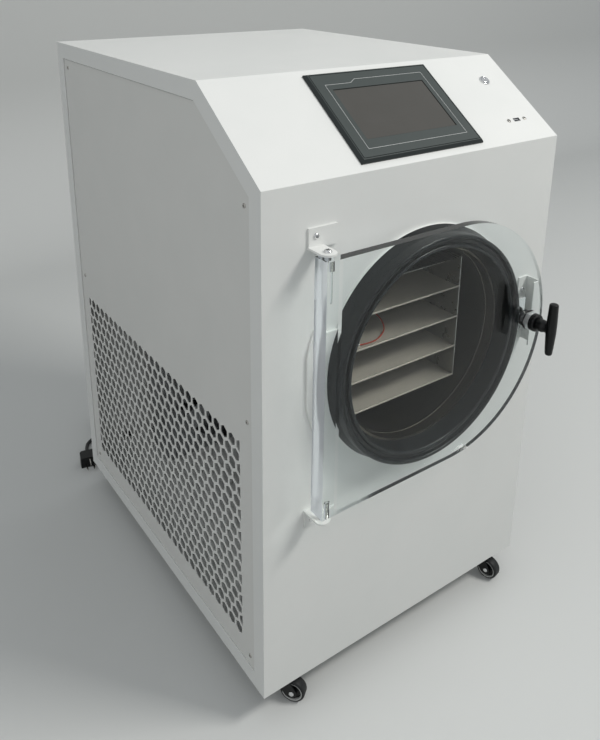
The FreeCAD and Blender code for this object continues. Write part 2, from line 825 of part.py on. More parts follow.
def make_chamber():
    """A rolled tube with a welded back, a flange on the panel that reaches out at the hinge, and a jacket."""
    drum = turned([("drum_radius", "-drum_depth"), (drum_outer, "-drum_depth"),
                   (drum_outer, "flange_gauge"), ("drum_radius", "flange_gauge")])
    keep("chamber_drum", on_panel(group(drum), "0", drum_z))
    back = rod(drum_outer, drum_back, "-drum_depth")
    port = rod("vacuum_radius", f"{drum_back} - {past}", f"-drum_depth + {past}")
    gland = rod("gland_shank", f"{drum_back} - {past}", f"-drum_depth + {past}", gland_x, "gland_lift")
    keep("chamber_back", on_panel(cut(back, port, gland), "0", drum_z))

    ring = rod("flange_radius", "0", "flange_gauge")
    strip = block(("-ear_reach", f"-{drum_outer}"), ("-ear_height / 2", "ear_height / 2"),
                  ("0", "flange_gauge"))
    ear = common(rod("ear_radius", "0", "flange_gauge"), strip)
    mouth = rod(drum_outer, f"-{past}", f"flange_gauge + {past}")
    keep("drum_flange", on_panel(cut(fuse(ring, ear), mouth), "0", drum_z))

    jacket_back = f"({drum_back} - jacket_thick)"
    jacket_outer = f"({drum_outer} + jacket_thick)"
    jacket = turned([("vacuum_radius", jacket_back), (jacket_outer, jacket_back, "jacket_round"),
                     (jacket_outer, "-jacket_start"), (drum_outer, "-jacket_start"),
                     (drum_outer, drum_back), ("vacuum_radius", drum_back)])
    wire_hole = rod("gland_radius", f"{jacket_back} - {past}", f"{drum_back} + {past}", gland_x, "gland_lift")
    keep("drum_insulation", on_panel(cut(jacket, wire_hole), "0", drum_z))


def make_door_seal():
    """A moulded ring: a flared foot, a rim that the door closes on, a groove, and a softer inner lip."""
    rim_top = "(flange_gauge + seal_depth)"
    lip_top = f"({rim_top} - lip_drop)"
    groove = f"({rim_top} - groove_depth)"
    rim_in = "(seal_radius - seal_rim)"
    lip_out = f"({rim_in} - seal_groove)"
    ring = turned([
        (drum_outer, "flange_gauge"),
        ("flange_radius", "flange_gauge"),
        ("seal_radius", "flange_gauge + seal_flare", "seal_flare"),
        ("seal_radius", rim_top, "seal_rim_round"),
        (rim_in, rim_top, "seal_rim_round"),
        (rim_in, groove, "seal_groove_round"),
        (lip_out, groove, "seal_groove_round"),
        (lip_out, lip_top, "seal_lip_round"),
        (f"{lip_out} - seal_lip", lip_top, "seal_lip_round"),
    ])
    keep("door_seal", on_panel(group(ring), "0", drum_z))


def make_rack():
    """An inverted channel of folded sheet with four shelves spot-welded between its sides."""
    x, gauge = "rack_half_width", "rack_gauge"
    low, high = f"{front} + rack_setback", f"{front} + rack_setback + rack_length"
    channel = prism("XZ", [
        (f"-{x}", f"{drum_z} - {rack_half_height}"),
        (f"{gauge} - {x}", f"{drum_z} - {rack_half_height}"),
        (f"{gauge} - {x}", f"{drum_z} + {rack_half_height} - {gauge}"),
        (f"{x} - {gauge}", f"{drum_z} + {rack_half_height} - {gauge}"),
        (f"{x} - {gauge}", f"{drum_z} - {rack_half_height}"),
        (x, f"{drum_z} - {rack_half_height}"),
        (x, f"{drum_z} + {rack_half_height}"),
        (f"-{x}", f"{drum_z} + {rack_half_height}"),
    ], low, high)
    keep("rack_frame", channel)
    for level in range(int(value("shelf_count"))):
        z = f"({drum_z} - {rack_half_height} + {level} * 2 * {rack_half_height} / shelf_count)"
        lip, gauge = f"({z} + shelf_lip)", "shelf_gauge"
        shelf = prism("YZ", [
            (low, z, "shelf_fold"),
            (high, z, "shelf_fold"),
            (high, lip),
            (f"{high} - {gauge}", lip),
            (f"{high} - {gauge}", f"{z} + {gauge}"),
            (f"{low} + {gauge}", f"{z} + {gauge}"),
            (f"{low} + {gauge}", lip),
            (low, lip),
        ], "rack_gauge - rack_half_width", "rack_half_width - rack_gauge")
        keep(f"shelf_{level + 1}", shelf)


def make_sensor():
    """The product sensor: a feed-through in the back wall, a thin lead and a steel probe on a shelf."""
    gland = fuse(rod("gland_radius", "-drum_depth", "gland_length - drum_depth"),
                 rod("gland_shank", f"{drum_back} - gland_tail", "-drum_depth"))
    keep("sensor_gland", on_panel(gland, gland_x, f"{drum_z} + gland_lift"))
    depth = value("drum_depth")
    setback = [value("drum_depth - gland_length"), depth - 42, depth - 75, depth - 115,
               215, 165, 125, 97, 77, 59, 47, 39.5]
    across = [value(gland_x), -29, -27, -25, -24, -23, -21, -18, -15, -20, -40, -62]
    lift = [value("gland_lift"), 32, 19, 5, 0, 1, 9, 18, 13, 3, 0, 0]
    shelf_top = value(f"{drum_z} + shelf_gauge + lead_radius")
    lift[0] = value(f"{drum_z} + gland_lift") - shelf_top
    spots = [vector(x, value(front) + y, shelf_top + z) for x, y, z in zip(across, setback, lift)]
    spots.append(vector(-84, value(front) + 43, shelf_top + value("probe_radius - lead_radius")))
    lead = pipe(spots, value("lead_radius"), cord_bend, "sensor lead")
    keep("sensor_lead", lead)
    heading = vector(spots[-1].x - spots[-2].x, spots[-1].y - spots[-2].y, 0).normalize()
    probe = Part.makeCylinder(value("probe_radius"), value("probe_length"), spots[-1], heading)
    item = doc.addObject("Part::Feature", "Probe")
    item.Shape = probe
    keep("sensor_probe", item)


make_chamber()
make_door_seal()
make_rack()
make_sensor()


# Door, hinge and latch.
def make_door():
    """A clear plate, straight on the hinge side and half round on the other, with its glued hinge bar."""
    straight = block(("-plate_left", "plate_centre"), ("-plate_radius", "plate_radius"),
                     (plate_back, plate_front))
    disc = rod("plate_radius", plate_back, plate_front, "plate_centre")
    hole = rod("barrel_radius + barrel_gap", f"{plate_back} - {past}", f"{plate_front} + {past}",
               "latch_x", "latch_rise - drum_rise")
    keep("door_plate", on_panel(cut(fuse(straight, disc), hole), "0", drum_z))

    bar = block(("-plate_left", "bar_width - plate_left"), (f"{front} - {plate_back}",
                f"{front} - {plate_back} + bar_depth"), (door_foot, door_top))
    ends = [(f"{door_top} - insert_length", door_top), (door_foot, f"{door_foot} + insert_length")]
    y = f"{front} - {pivot_out}"
    seats = [rod("insert_radius", low, high, f"-{pivot_x}", y) for low, high in ends]
    keep("door_hinge_bar", cut(bar, *seats))
    sleeves = []
    for low, high in ends:
        sleeve = rod("insert_radius", low, high, f"-{pivot_x}", y)
        bore = rod("pivot_radius + running_gap", low, high, f"-{pivot_x}", y)
        sleeves.append(cut(sleeve, bore))
    keep("pivot_inserts", group(*sleeves))


def make_bracket(name, tab_low, tab_high, leg_low, leg_high, screw_z):
    """A folded bracket: a wide leg on the panel and a tab with a round end at the pivot."""
    y = f"{front} - {pivot_out}"
    leg = block(("-leg_left", "-leg_right"), (f"{front} - tab_gauge", front), (leg_low, leg_high))
    tab = block((f"-{pivot_x} - tab_radius", f"tab_radius - {pivot_x}"), (y, front), (tab_low, tab_high))
    nose = rod("tab_radius", tab_low, tab_high, f"-{pivot_x}", y)
    pivot_hole = rod("pivot_radius + running_gap", tab_low, tab_high, f"-{pivot_x}", y)
    screw_hole = drill("front_shank", f"{front} - tab_gauge", front, leg_screw_x, screw_z)
    keep(name, cut(fuse(leg, tab, nose), pivot_hole, screw_hole))


def make_hinge():
    upper_tab = f"({door_top} + tab_gap)"
    lower_tab = f"({door_foot} - spacer_gap - spacer_length)"
    make_bracket("upper_hinge_bracket", upper_tab, f"{upper_tab} + tab_gauge",
                 upper_tab, f"{upper_tab} + leg_height", leg_screw_zs[0])
    make_bracket("lower_hinge_bracket", f"{lower_tab} - tab_gauge", lower_tab,
                 f"{lower_tab} - leg_height", lower_tab, leg_screw_zs[1])
    y = f"{front} - {pivot_out}"
    screws = []
    over_tab = f"({upper_tab} + tab_gauge)"
    screws.append(fuse(rod("pivot_head", over_tab, f"{over_tab} + pivot_head_height", f"-{pivot_x}", y),
                       rod("pivot_radius", f"{door_top} - pivot_reach", over_tab, f"-{pivot_x}", y)))
    under_tab = f"({lower_tab} - tab_gauge)"
    screws.append(fuse(rod("pivot_head", f"{under_tab} - pivot_head_height", under_tab, f"-{pivot_x}", y),
                       rod("pivot_radius", under_tab, f"{door_foot} + pivot_reach", f"-{pivot_x}", y)))
    keep("pivot_screws", group(*screws))
    spacer = cut(rod("insert_radius", lower_tab, f"{lower_tab} + spacer_length", f"-{pivot_x}", y),
                 rod("pivot_radius + running_gap", lower_tab, f"{lower_tab} + spacer_length",
                     f"-{pivot_x}", y))
    keep("hinge_spacer", spacer)


def make_keeper():
    """A folded catch: a foot on the panel, a web and a lip that the cam turns behind."""
    left, right, gauge = "keeper_left", "(keeper_left + keeper_foot)", "keeper_gauge"
    stand = f"({front} - keeper_stand)"
    catch = prism("XY", [
        (left, front),
        (left, f"{front} - {gauge}"),
        (f"{right} - {gauge}", f"{front} - {gauge}"),
        (f"{right} - {gauge}", f"{stand} + {gauge}"),
        (f"{right} - keeper_lip", f"{stand} + {gauge}"),
        (f"{right} - keeper_lip", stand),
        (right, stand, "keeper_fold"),
        (right, front, "keeper_fold"),
    ], f"{drum_z} - keeper_height / 2", f"{drum_z} + keeper_height / 2")
    holes = [drill("front_shank", f"{front} - {gauge}", front, keeper_screw_x, z) for z in keeper_screw_zs]
    keep("latch_keeper", cut(catch, *holes))


def make_latch():
    """The compression latch: a barrel through the plate and a T-handle that turns a cam behind the keeper."""
    bore = "(spindle_radius + running_gap)"
    flange_back = f"({plate_back} - barrel_flange_gauge)"
    barrel_top = f"({nut_front} + barrel_front)"
    barrel = turned([(bore, flange_back), ("barrel_flange", flange_back), ("barrel_flange", plate_back),
                     ("barrel_radius", plate_back), ("barrel_radius", barrel_top), (bore, barrel_top)])
    keep("latch_barrel", on_panel(group(barrel), "latch_x", latch_z))
    nut = cut(hexagon("nut_flats", plate_front, nut_front), rod("barrel_radius", plate_front, nut_front))
    keep("latch_nut", on_panel(nut, "latch_x", latch_z))
    collar = turned([("barrel_radius", nut_front), ("collar_radius", nut_front),
                     ("collar_radius", collar_front, "collar_round"), (bore, collar_front),
                     (bore, barrel_top), ("barrel_radius", barrel_top)])
    keep("latch_collar", on_panel(group(collar), "latch_x", latch_z))

    grip = turned([("0", "-handle_length / 2"), ("handle_end", "-handle_length / 2", "handle_round"),
                   ("handle_radius", "0"), ("handle_end", "handle_length / 2", "handle_round"),
                   ("0", "handle_length / 2")])
    place(turn(grip, (1, 0, 0), "90"), "0", "0", handle_out)
    socket = rod("spindle_radius", f"{neck_back} - {past}", f"{neck_back} + spindle_depth")
    handle = cut(fuse(rod("handle_radius", neck_back, handle_out), grip), socket)
    keep("latch_handle", on_panel(handle, "latch_x", latch_z))
    spindle = rod("spindle_radius", f"{cam_front} - cam_gauge", f"{neck_back} + spindle_depth")
    cam_x = ("-cam_half_width", "cam_half_width")
    arm = block(cam_x, ("0", "cam_reach"), (f"{cam_front} - cam_gauge", cam_front))
    hub = rod("cam_half_width", f"{cam_front} - cam_gauge", cam_front)
    keep("latch_cam_spindle", on_panel(fuse(spindle, arm, hub), "latch_x", latch_z))


make_door()
make_hinge()
make_keeper()
make_latch()


# Refrigeration and power inside the cabinet.
def make_compressor():
    foot = f"({floor_pan} + grommet_height)"
    crown = f"({foot} + foot_gauge + compressor_height)"
    can = turned([("0", foot), ("compressor_radius", foot, "compressor_foot"),
                  ("compressor_radius", crown, "compressor_crown"), ("0", crown)])
    feet = middle_block("foot_width", "foot_depth", foot, f"{foot} + foot_gauge")
    y = f"{front} + {compressor_setback}"
    rubbers = []
    for x in ("-foot_spread", "foot_spread"):
        for deep in ("-foot_spread_deep", "foot_spread_deep"):
            rubbers.append(rod("grommet_radius", floor_pan, foot, f"compressor_x + {x}", f"{y} + {deep}"))
    keep("compressor", place(fuse(can, feet), "compressor_x", y))
    keep("compressor_grommets", group(*rubbers))


def make_condenser():
    half_width = "(condenser_width / 2)"
    low = f"{front} + {condenser_setback}"
    high = f"{low} + condenser_depth"
    core = block((f"-{half_width}", half_width), (low, high),
                 (floor_pan, f"{floor_pan} + condenser_height"))
    grooves = []
    for number in range(int(value("condenser_width / fin_pitch")) - 1):
        x = f"(({number} + 1) * fin_pitch - {half_width})"
        for y in ((f"{low} - {past}", f"{low} + fin_depth"), (f"{high} - fin_depth", f"{high} + {past}")):
            grooves.append(block((f"{x} - fin_groove / 2", f"{x} + fin_groove / 2"), y,
                                 (f"{floor_pan} + fin_groove",
                                  f"{floor_pan} + condenser_height - fin_groove")))
    keep("condenser", cut(core, *grooves))

    shroud_front = f"({low} - shroud_depth)"
    wall = block((f"-{half_width}", half_width), (shroud_front, low),
                 (floor_pan, f"{floor_pan} + condenser_height"))
    duct = drill("fan_radius", shroud_front, low, "0", condenser_z)
    keep("fan_shroud", cut(wall, duct))

    back = shroud_front
    motor = [rod_along("Y", "motor_radius", f"{back} - motor_length", back, "0", condenser_z)]
    spider = "(fan_radius + spider_width)"
    motor.append(block((f"-{spider}", spider), (f"{back} - spider_gauge", back),
                       (f"{condenser_z} - spider_width / 2", f"{condenser_z} + spider_width / 2")))
    motor.append(block(("-spider_width / 2", "spider_width / 2"), (f"{back} - spider_gauge", back),
                       (f"{condenser_z} - {spider}", f"{condenser_z} + {spider}")))
    hub_front = f"({back} + (shroud_depth - hub_length) / 2)"
    motor.append(rod_along("Y", "shaft_radius", back, f"{hub_front} + hub_length", "0", condenser_z))
    keep("fan_motor", fuse(*motor))

    hub = rod("hub_radius", "0", "hub_length")
    blades = []
    blade_count = 5
    for number in range(blade_count):
        blade = block(("hub_radius / 2", "fan_radius - fan_gap"), ("-blade_width / 2", "blade_width / 2"),
                      ("-blade_gauge / 2", "blade_gauge / 2"))
        twist = group(blade)
        turn(twist, (1, 0, 0), "blade_angle")
        place(twist, "0", "0", "hub_length / 2")
        spoke = group(twist)
        turn(spoke, (0, 0, 1), f"360 / {blade_count} * {number}")
        blades.append(spoke)
    bore = rod("shaft_radius + running_gap", "-hub_length", "2 * hub_length")
    rotor = cut(fuse(hub, *blades), bore)
    turn(rotor, (-1, 0, 0), "90")
    keep("fan_rotor", place(rotor, "0", hub_front, condenser_z))


def make_control_box():
    y = f"({front} + box_setback)"
    box = block((f"{box_x} - box_width / 2", f"{box_x} + box_width / 2"), (y, f"{y} + box_depth"),
                (floor_pan, f"{floor_pan} + box_height"))
    keep("control_box", box)


def make_vacuum_pipe():
    """The pumping line, from the chamber's back wall to a small vacuum flange behind the cabinet."""
    start, end = f"{front} + drum_depth", f"{rear} + port_reach"
    length = f"({end} - ({start}))"
    flange = turned([
        ("vacuum_bore", "0"),
        ("vacuum_radius", "0"),
        ("vacuum_radius", f"{length} - vacuum_rim - vacuum_taper"),
        ("vacuum_flange", f"{length} - vacuum_rim"),
        ("vacuum_flange", length),
        ("vacuum_bore", length),
    ])
    turn(flange, (-1, 0, 0), "90")
    keep("vacuum_pipe", place(flange, "0", start, drum_z))


def make_refrigerant_pipes():
    """Copper lines from the compressor to the condenser and to the cold wall round the chamber."""
    crown = value(f"{floor_pan} + grommet_height + foot_gauge + compressor_height / 2")
    edge = value("compressor_x - compressor_radius")
    y = value(f"{front} + {compressor_setback}")
    radius = value("pipe_radius")
    condenser_face = value(f"{front} + {condenser_setback} - shroud_depth")
    side = value("compressor_x + compressor_radius")
    out, rise = value("pipe_standoff"), value("pipe_rise")
    hot_z = crown + out
    across = side - value("discharge_inset")
    hot = [vector(side, y, hot_z), vector(side + out, y, hot_z), vector(side + out, y + 2 * rise, hot_z),
           vector(across, y + 3 * rise, hot_z + rise), vector(across, condenser_face, hot_z + rise)]
    jacket_foot = value(f"{drum_z} - ({drum_outer} + jacket_thick)")
    cold = [vector(edge, y, crown), vector(edge - out, y, crown),
            vector(edge - out, y - 2 * rise, crown + out),
            vector(0, y - 4 * rise, crown + 2 * rise), vector(0, y - 4 * rise, jacket_foot)]
    tubes = []
    for title, points in (("discharge line", hot), ("suction line", cold)):
        tubes.append(pipe(points, radius, lambda run, bend: min(4 * radius, cord_bend(run, bend)), title))
    keep("refrigerant_pipes", group(*tubes))


make_compressor()
make_condenser()
make_control_box()
make_vacuum_pipe()
make_refrigerant_pipes()


# Mains lead: out of a gland low at the back, down to a coil on the floor, and on to the plug.
def make_mains_lead():
    cable_z = f"({base} + cable_rise)"
    face = f"({rear} - rear_recess)"
    gland = turned([
        ("0", f"-({over} - rear_recess) - cable_nut_height / 2"),
        ("cable_shank", f"-({over} - rear_recess) - cable_nut_height / 2"),
        ("cable_shank", "0"),
        ("cable_nut", "0"),
        ("cable_nut", "cable_nut_height", "cable_nut_round"),
        ("relief_start", "cable_nut_height"),
        ("relief_end", "cable_nut_height + relief_length"),
        ("0", "cable_nut_height + relief_length"),
    ])
    turn(gland, (-1, 0, 0), "90")
    keep("cable_gland", place(gland, f"-{cable_x}", face, cable_z))

    radius = value("cable_radius")
    gland_end = value(f"{face} + cable_nut_height + relief_length")
    x, z = -value(cable_x), value(cable_z)
    back = value(rear)
    fall = [vector(x, gland_end, z), vector(x, back + 73, z - 3), vector(x - 1, back + 107, z - 18),
            vector(x - 2, back + 136, z - 40), vector(x - 1.5, back + 162, z - 57),
            vector(x, back + value("coil_behind"), z - 70)]
    keep("power_cord", pipe(fall, radius, cord_bend, "cord from the gland"))
    coil_x, coil_y = x + value("coil_across"), back + value("coil_behind")
    coil = turned([("coil_inner", "0", "coil_round"), ("coil_outer", "0", "coil_round"),
                   ("coil_outer", "coil_height", "coil_round"), ("coil_inner", "coil_height", "coil_round")])
    keep("power_cord_coil", place(coil, coil_x, coil_y))
    plug_end = [vector(-257, back + 92, 12), vector(-250, back + 123, 7), vector(-226, back + 146, radius),
                vector(-187, back + 151.5, radius),
                vector(coil_x - 1.5, coil_y - value("coil_across"), radius)]
    keep("power_cord_end", pipe(plug_end, radius, cord_bend, "cord to the plug"))
    return plug_end


def make_mains_plug(plug_end):
    """A moulded three-pin plug lying on the floor, its pins pointing past the cabinet."""
    grip = prism("XY", [
        ("-plug_half_width", "0"),
        ("plug_half_width", "0"),
        ("plug_half_width", "-plug_depth", "plug_round"),
        ("-plug_half_width", "-plug_depth", "plug_round"),
    ], "-plug_height / 2", "plug_height / 2")
    relief = rod_along("Y", "plug_neck", "-plug_depth - plug_relief", f"-plug_depth + {past}", "0", "0")
    pins = [block(("-pin_thick / 2", "pin_thick / 2"), ("0", "pin_length"),
                  ("earth_drop", "earth_drop + pin_width"))]
    for side in ("-1", "1"):
        blade = block(("-pin_thick / 2", "pin_thick / 2"), ("0", "pin_length"),
                      ("-pin_width / 2", "pin_width / 2"))
        splayed = group(blade)
        turn(splayed, (0, 1, 0), f"{side} * pin_angle")
        pins.append(place(splayed, f"{side} * pin_spread", "0", "-earth_drop"))
    plug = fuse(grip, relief, *pins)
    heading = plug_end[0] - plug_end[1]
    yaw = math.degrees(math.atan2(heading.y, heading.x)) - 90
    turn(plug, (0, 0, 1), yaw)
    length = value("plug_depth + plug_relief")
    flat = vector(heading.x, heading.y, 0).normalize()
    spot = plug_end[0] + flat * length
    keep("mains_plug", place(plug, spot.x, spot.y, "plug_height / 2"))


make_mains_plug(make_mains_lead())


# Casters. Each is drawn trailing along +X and then turned to where it rests.
caster_spots = {
    "front_left": (f"-{caster_x}", f"{front} + caster_setback", "-53"),
    "front_right": (caster_x, f"{front} + caster_setback", "-78"),
    "rear_left": (f"-{caster_x}", f"{rear} - caster_setback", "-64"),
    "rear_right": (caster_x, f"{rear} - caster_setback", "-71"),
}
race_foot = f"({base} - plate_gauge - race_height)"
crown_top = f"({race_foot} - swivel_gap)"
axle_z = "wheel_radius"
arm_inside = "(wheel_width / 2 + wheel_side_gap)"


def make_fork():
    crown = rod("crown_radius", f"{crown_top} - fork_gauge", crown_top)
    pin = rod("pin_radius", crown_top, f"{base} - swivel_gap")
    cheeks = []
    arm_outside = f"({arm_inside} + fork_gauge)"
    for low, high in ((arm_inside, arm_outside), (f"-{arm_outside}", f"-{arm_inside}")):
        cheeks.append(prism("XZ", [
            ("-trail_length / 2", f"{crown_top} - fork_gauge"),
            ("-trail_length / 2", crown_top),
            ("trail_length / 2 + fork_arm / 2", crown_top, "fork_nose"),
            ("trail_length + fork_arm", f"{axle_z} + fork_arm / 2", "fork_shoulder"),
            ("trail_length + fork_arm", f"{axle_z} - fork_arm", "fork_round"),
            ("trail_length - fork_arm", f"{axle_z} - fork_arm", "fork_round"),
        ], low, high))
    axle = f"({arm_inside} + fork_gauge + axle_head)"
    rivet = rod_along("Y", "axle_radius", f"-{axle}", axle, "trail_length", axle_z)
    return fuse(crown, pin, *cheeks, rivet)


def make_wheel():
    side = "(wheel_width / 2)"
    bore = "(axle_radius + running_gap)"
    web = f"({side} - web_depth)"
    wheel = turned([
        (bore, f"-{side}"),
        ("hub_boss", f"-{side}"),
        ("hub_boss", f"-{web}"),
        ("rim_radius", f"-{web}"),
        ("rim_radius", f"-{side}"),
        ("wheel_radius", f"-{side}", "tread_round"),
        ("wheel_radius", side, "tread_round"),
        ("rim_radius", side),
        ("rim_radius", web),
        ("hub_boss", web),
        ("hub_boss", side),
        (bore, side),
    ])
    return place(turn(wheel, (-1, 0, 0), "90"), "trail_length", "0", axle_z)


def make_casters():
    plates = []
    for name, (x, y, heading) in caster_spots.items():
        flat = block((f"{x} - plate_length / 2", f"{x} + plate_length / 2"),
                     (f"{y} - plate_depth / 2", f"{y} + plate_depth / 2"), (f"{base} - plate_gauge", base))
        race = rod("race_radius", race_foot, base, x, y)
        hole = rod("pin_radius + running_gap", race_foot, base, x, y)
        plates.append(cut(fuse(flat, race), hole))
        for kind, item in (("fork", make_fork()), ("wheel", make_wheel())):
            posed = turn(group(item), (0, 0, 1), heading)
            keep(f"{name}_{kind}", place(posed, x, y))
    keep("caster_plates", group(*plates))


make_casters()

doc.recompute()
for item in doc.Objects:
    troubled = [state for state in item.State if state in ("Invalid", "Error")]
    if troubled:
        raise RuntimeError(f"{item.Label} is {troubled[0]}")
for name, item in parts.items():
    shape = item.Shape
    if shape.isNull() or not shape.isValid() or not shape.Solids:
        raise RuntimeError(f"{name} has no valid solid")

os.makedirs("parts", exist_ok=True)
for name, item in parts.items():
    item.Shape.exportStep(f"parts/{name}.step")
    print(f"{name}: {len(item.Shape.Solids)} solid(s), {item.Shape.Volume / 1000:.1f} cm3")
print(f"{len(parts)} parts")
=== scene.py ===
import json
import math

import bmesh
import bpy
from mathutils import Matrix, Vector


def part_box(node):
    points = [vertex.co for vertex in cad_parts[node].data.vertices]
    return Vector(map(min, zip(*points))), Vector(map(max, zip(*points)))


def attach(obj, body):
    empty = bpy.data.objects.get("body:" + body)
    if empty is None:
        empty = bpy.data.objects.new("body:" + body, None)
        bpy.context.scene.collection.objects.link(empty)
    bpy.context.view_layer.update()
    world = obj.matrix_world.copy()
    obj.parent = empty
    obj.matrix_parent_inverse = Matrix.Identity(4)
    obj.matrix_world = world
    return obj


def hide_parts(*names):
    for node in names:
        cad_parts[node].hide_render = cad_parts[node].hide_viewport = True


# A laboratory freeze dryer: a powder-coated cabinet on casters, with a steel vacuum chamber behind a
# clear hinged door. Metres, Z up, the user stands on the -Y side.

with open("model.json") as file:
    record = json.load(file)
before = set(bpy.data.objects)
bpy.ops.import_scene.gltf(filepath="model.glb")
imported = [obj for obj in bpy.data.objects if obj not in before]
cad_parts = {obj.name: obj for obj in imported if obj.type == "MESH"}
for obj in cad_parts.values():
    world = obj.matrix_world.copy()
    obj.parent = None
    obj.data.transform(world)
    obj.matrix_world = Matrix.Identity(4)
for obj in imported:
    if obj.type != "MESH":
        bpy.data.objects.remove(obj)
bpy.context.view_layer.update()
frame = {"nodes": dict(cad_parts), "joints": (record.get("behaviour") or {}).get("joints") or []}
nodes = frame["nodes"]
joints = {joint["name"]: joint for joint in frame["joints"]}
print("frame loaded:", len(nodes), "nodes")

camera = {
    "place": (-0.7342, -1.0397, 1.1048),
    "turn": (71.90, -0.62, -35.48),  # degrees about X, Y and Z
    "lens": 37.28,
    "shift": (-0.0047, -0.2208),
}
bpy.ops.object.select_all(action="DESELECT")
bpy.ops.object.camera_add(location=camera["place"], rotation=[math.radians(a) for a in camera["turn"]])
eye = bpy.context.object
eye.name = "camera"
eye.data.lens = camera["lens"]
eye.data.shift_x, eye.data.shift_y = camera["shift"]
bpy.context.scene.camera = eye
bpy.context.scene.view_settings.view_transform = "Standard"
print("camera set")


# Small helpers for working in edit mode from a script.
weldReach = 1e-6  # corners closer than this are merged
nearly = 0.001  # faces and corners this close to a line are picked with it


def deselectAll():
    if bpy.context.mode != "OBJECT":
        bpy.ops.object.mode_set(mode="OBJECT")
    bpy.ops.object.select_all(action="DESELECT")


def pick(*pieces):
    # the last piece becomes the active one
    deselectAll()
    for piece in pieces:
        piece.select_set(True)
    bpy.context.view_layer.objects.active = pieces[-1]


def editMode(piece, kind="VERT"):
    pick(piece)
    bpy.ops.object.mode_set(mode="EDIT")
    bpy.ops.mesh.select_mode(type=kind)
    selectAll()


def objectMode():
    bpy.ops.object.mode_set(mode="OBJECT")


def selectAll():
    bpy.ops.mesh.select_all(action="SELECT")


def faceOutwards():
    # turns every face of the piece outwards and leaves edit mode
    selectAll()
    bpy.ops.mesh.normals_make_consistent(inside=False)
    objectMode()


def selectWhere(piece, kind, test):
    # a face is tested by its middle and normal, an edge by its middle and run, a corner by its place
    bpy.ops.mesh.select_mode(type=kind)
    bpy.ops.mesh.select_all(action="DESELECT")
    mesh = bmesh.from_edit_mesh(piece.data)
    if kind == "FACE":
        for face in mesh.faces:
            face.select_set(test(face.calc_center_median(), face.normal))
    elif kind == "EDGE":
        for edge in mesh.edges:
            first, last = (vert.co for vert in edge.verts)
            edge.select_set(test((first + last) / 2, last - first))
    else:
        for vert in mesh.verts:
            vert.select_set(test(vert.co, vert.normal))
    mesh.select_flush_mode()
    bmesh.update_edit_mesh(piece.data)


def extrude(x, y, z):
    bpy.ops.mesh.extrude_region_move(TRANSFORM_OT_translate={"value": (x, y, z)})


def placeMesh(piece, matrix):
    # moves the mesh and leaves the object at the origin
    pick(piece)
    piece.matrix_world = matrix @ piece.matrix_world
    bpy.ops.object.transform_apply(location=True, rotation=True, scale=True)
    return piece


def addBlock(low, high):
    low, high = Vector(low), Vector(high)
    deselectAll()
    bpy.ops.mesh.primitive_cube_add(size=1, location=(low + high) / 2)
    piece = bpy.context.object
    piece.scale = high - low
    bpy.ops.object.transform_apply(location=True, rotation=True, scale=True)
    return piece


def drawLine(points, closed=False):
    # a chain of edges, drawn by extruding one corner from point to point
    points = [Vector(point) for point in points]
    if closed:
        points.append(points[0])
    deselectAll()
    bpy.ops.mesh.primitive_plane_add(size=0.001, location=points[0])
    piece = bpy.context.object
    bpy.ops.object.transform_apply(location=True, rotation=True, scale=True)
    editMode(piece)
    bpy.ops.mesh.merge(type="CENTER")
    for start, end in zip(points, points[1:]):
        extrude(*(end - start))
    selectAll()
    bpy.ops.mesh.remove_doubles(threshold=weldReach)
    objectMode()
    return piece


def roundOutline(corners, steps=5):
    # an outline in the XZ plane: a corner is (across, along) or (across, along, radius)
    points = []
    for i, corner in enumerate(corners):
        spot = Vector(corner[:2])
        if len(corner) == 2:
            points.append(spot)
            continue
        before = (Vector(corners[i - 1][:2]) - spot).normalized()
        after = (Vector(corners[(i + 1) % len(corners)][:2]) - spot).normalized()
        half = before.angle(after) / 2
        middle = spot + (before + after).normalized() * corner[2] / math.sin(half)
        first = spot + before * corner[2] / math.tan(half) - middle
        last = spot + after * corner[2] / math.tan(half) - middle
        start = math.atan2(first.y, first.x)
        sweep = (math.atan2(last.y, last.x) - start + math.pi) % (2 * math.pi) - math.pi
        for step in range(steps + 1):
            angle = start + sweep * step / steps
            points.append(middle + Vector((math.cos(angle), math.sin(angle))) * corner[2])
    return [(point.x, 0, point.y) for point in points]


def smoothShade(piece, angle=35):
    pick(piece)
    bpy.ops.object.shade_smooth_by_angle(angle=math.radians(angle))
    return piece


def turned(corners, matrix, steps=64, closed=False, angle=35):
    # a turned part: its outline is spun once about Z, then put in its place
    piece = drawLine(roundOutline(corners), closed)
    editMode(piece)
    bpy.ops.mesh.spin(steps=steps, angle=2 * math.pi, center=(0, 0, 0), axis=(0, 0, 1))
    selectAll()
    bpy.ops.mesh.remove_doubles(threshold=weldReach)
    faceOutwards()
    return smoothShade(placeMesh(piece, matrix), angle)


def softenEdges(piece, width, segments=2, angle=35):
    pick(piece)
    bevel = piece.modifiers.new("Bevel", "BEVEL")
    bevel.width = width
    bevel.segments = segments
    bevel.limit_method = "ANGLE"
    bevel.angle_limit = math.radians(angle)
    bevel.miter_outer = "MITER_ARC"
    bpy.ops.object.modifier_apply(modifier="Bevel")
    smoothShade(piece, angle)
    # the large faces set the normals, so that they stay flat up to the eased edge
    flat = piece.modifiers.new("Flat", "WEIGHTED_NORMAL")
    flat.keep_sharp = True
    bpy.ops.object.modifier_apply(modifier="Flat")
    return piece


def cutOut(piece, tool):
    pick(piece)
    hole = piece.modifiers.new("Hole", "BOOLEAN")
    hole.operation = "DIFFERENCE"
    hole.solver = "EXACT"
    hole.object = tool
    bpy.ops.object.modifier_apply(modifier="Hole")
    bpy.data.objects.remove(tool)
    return piece


def join(pieces):
    pick(*pieces)
    bpy.ops.object.join()
    return bpy.context.object


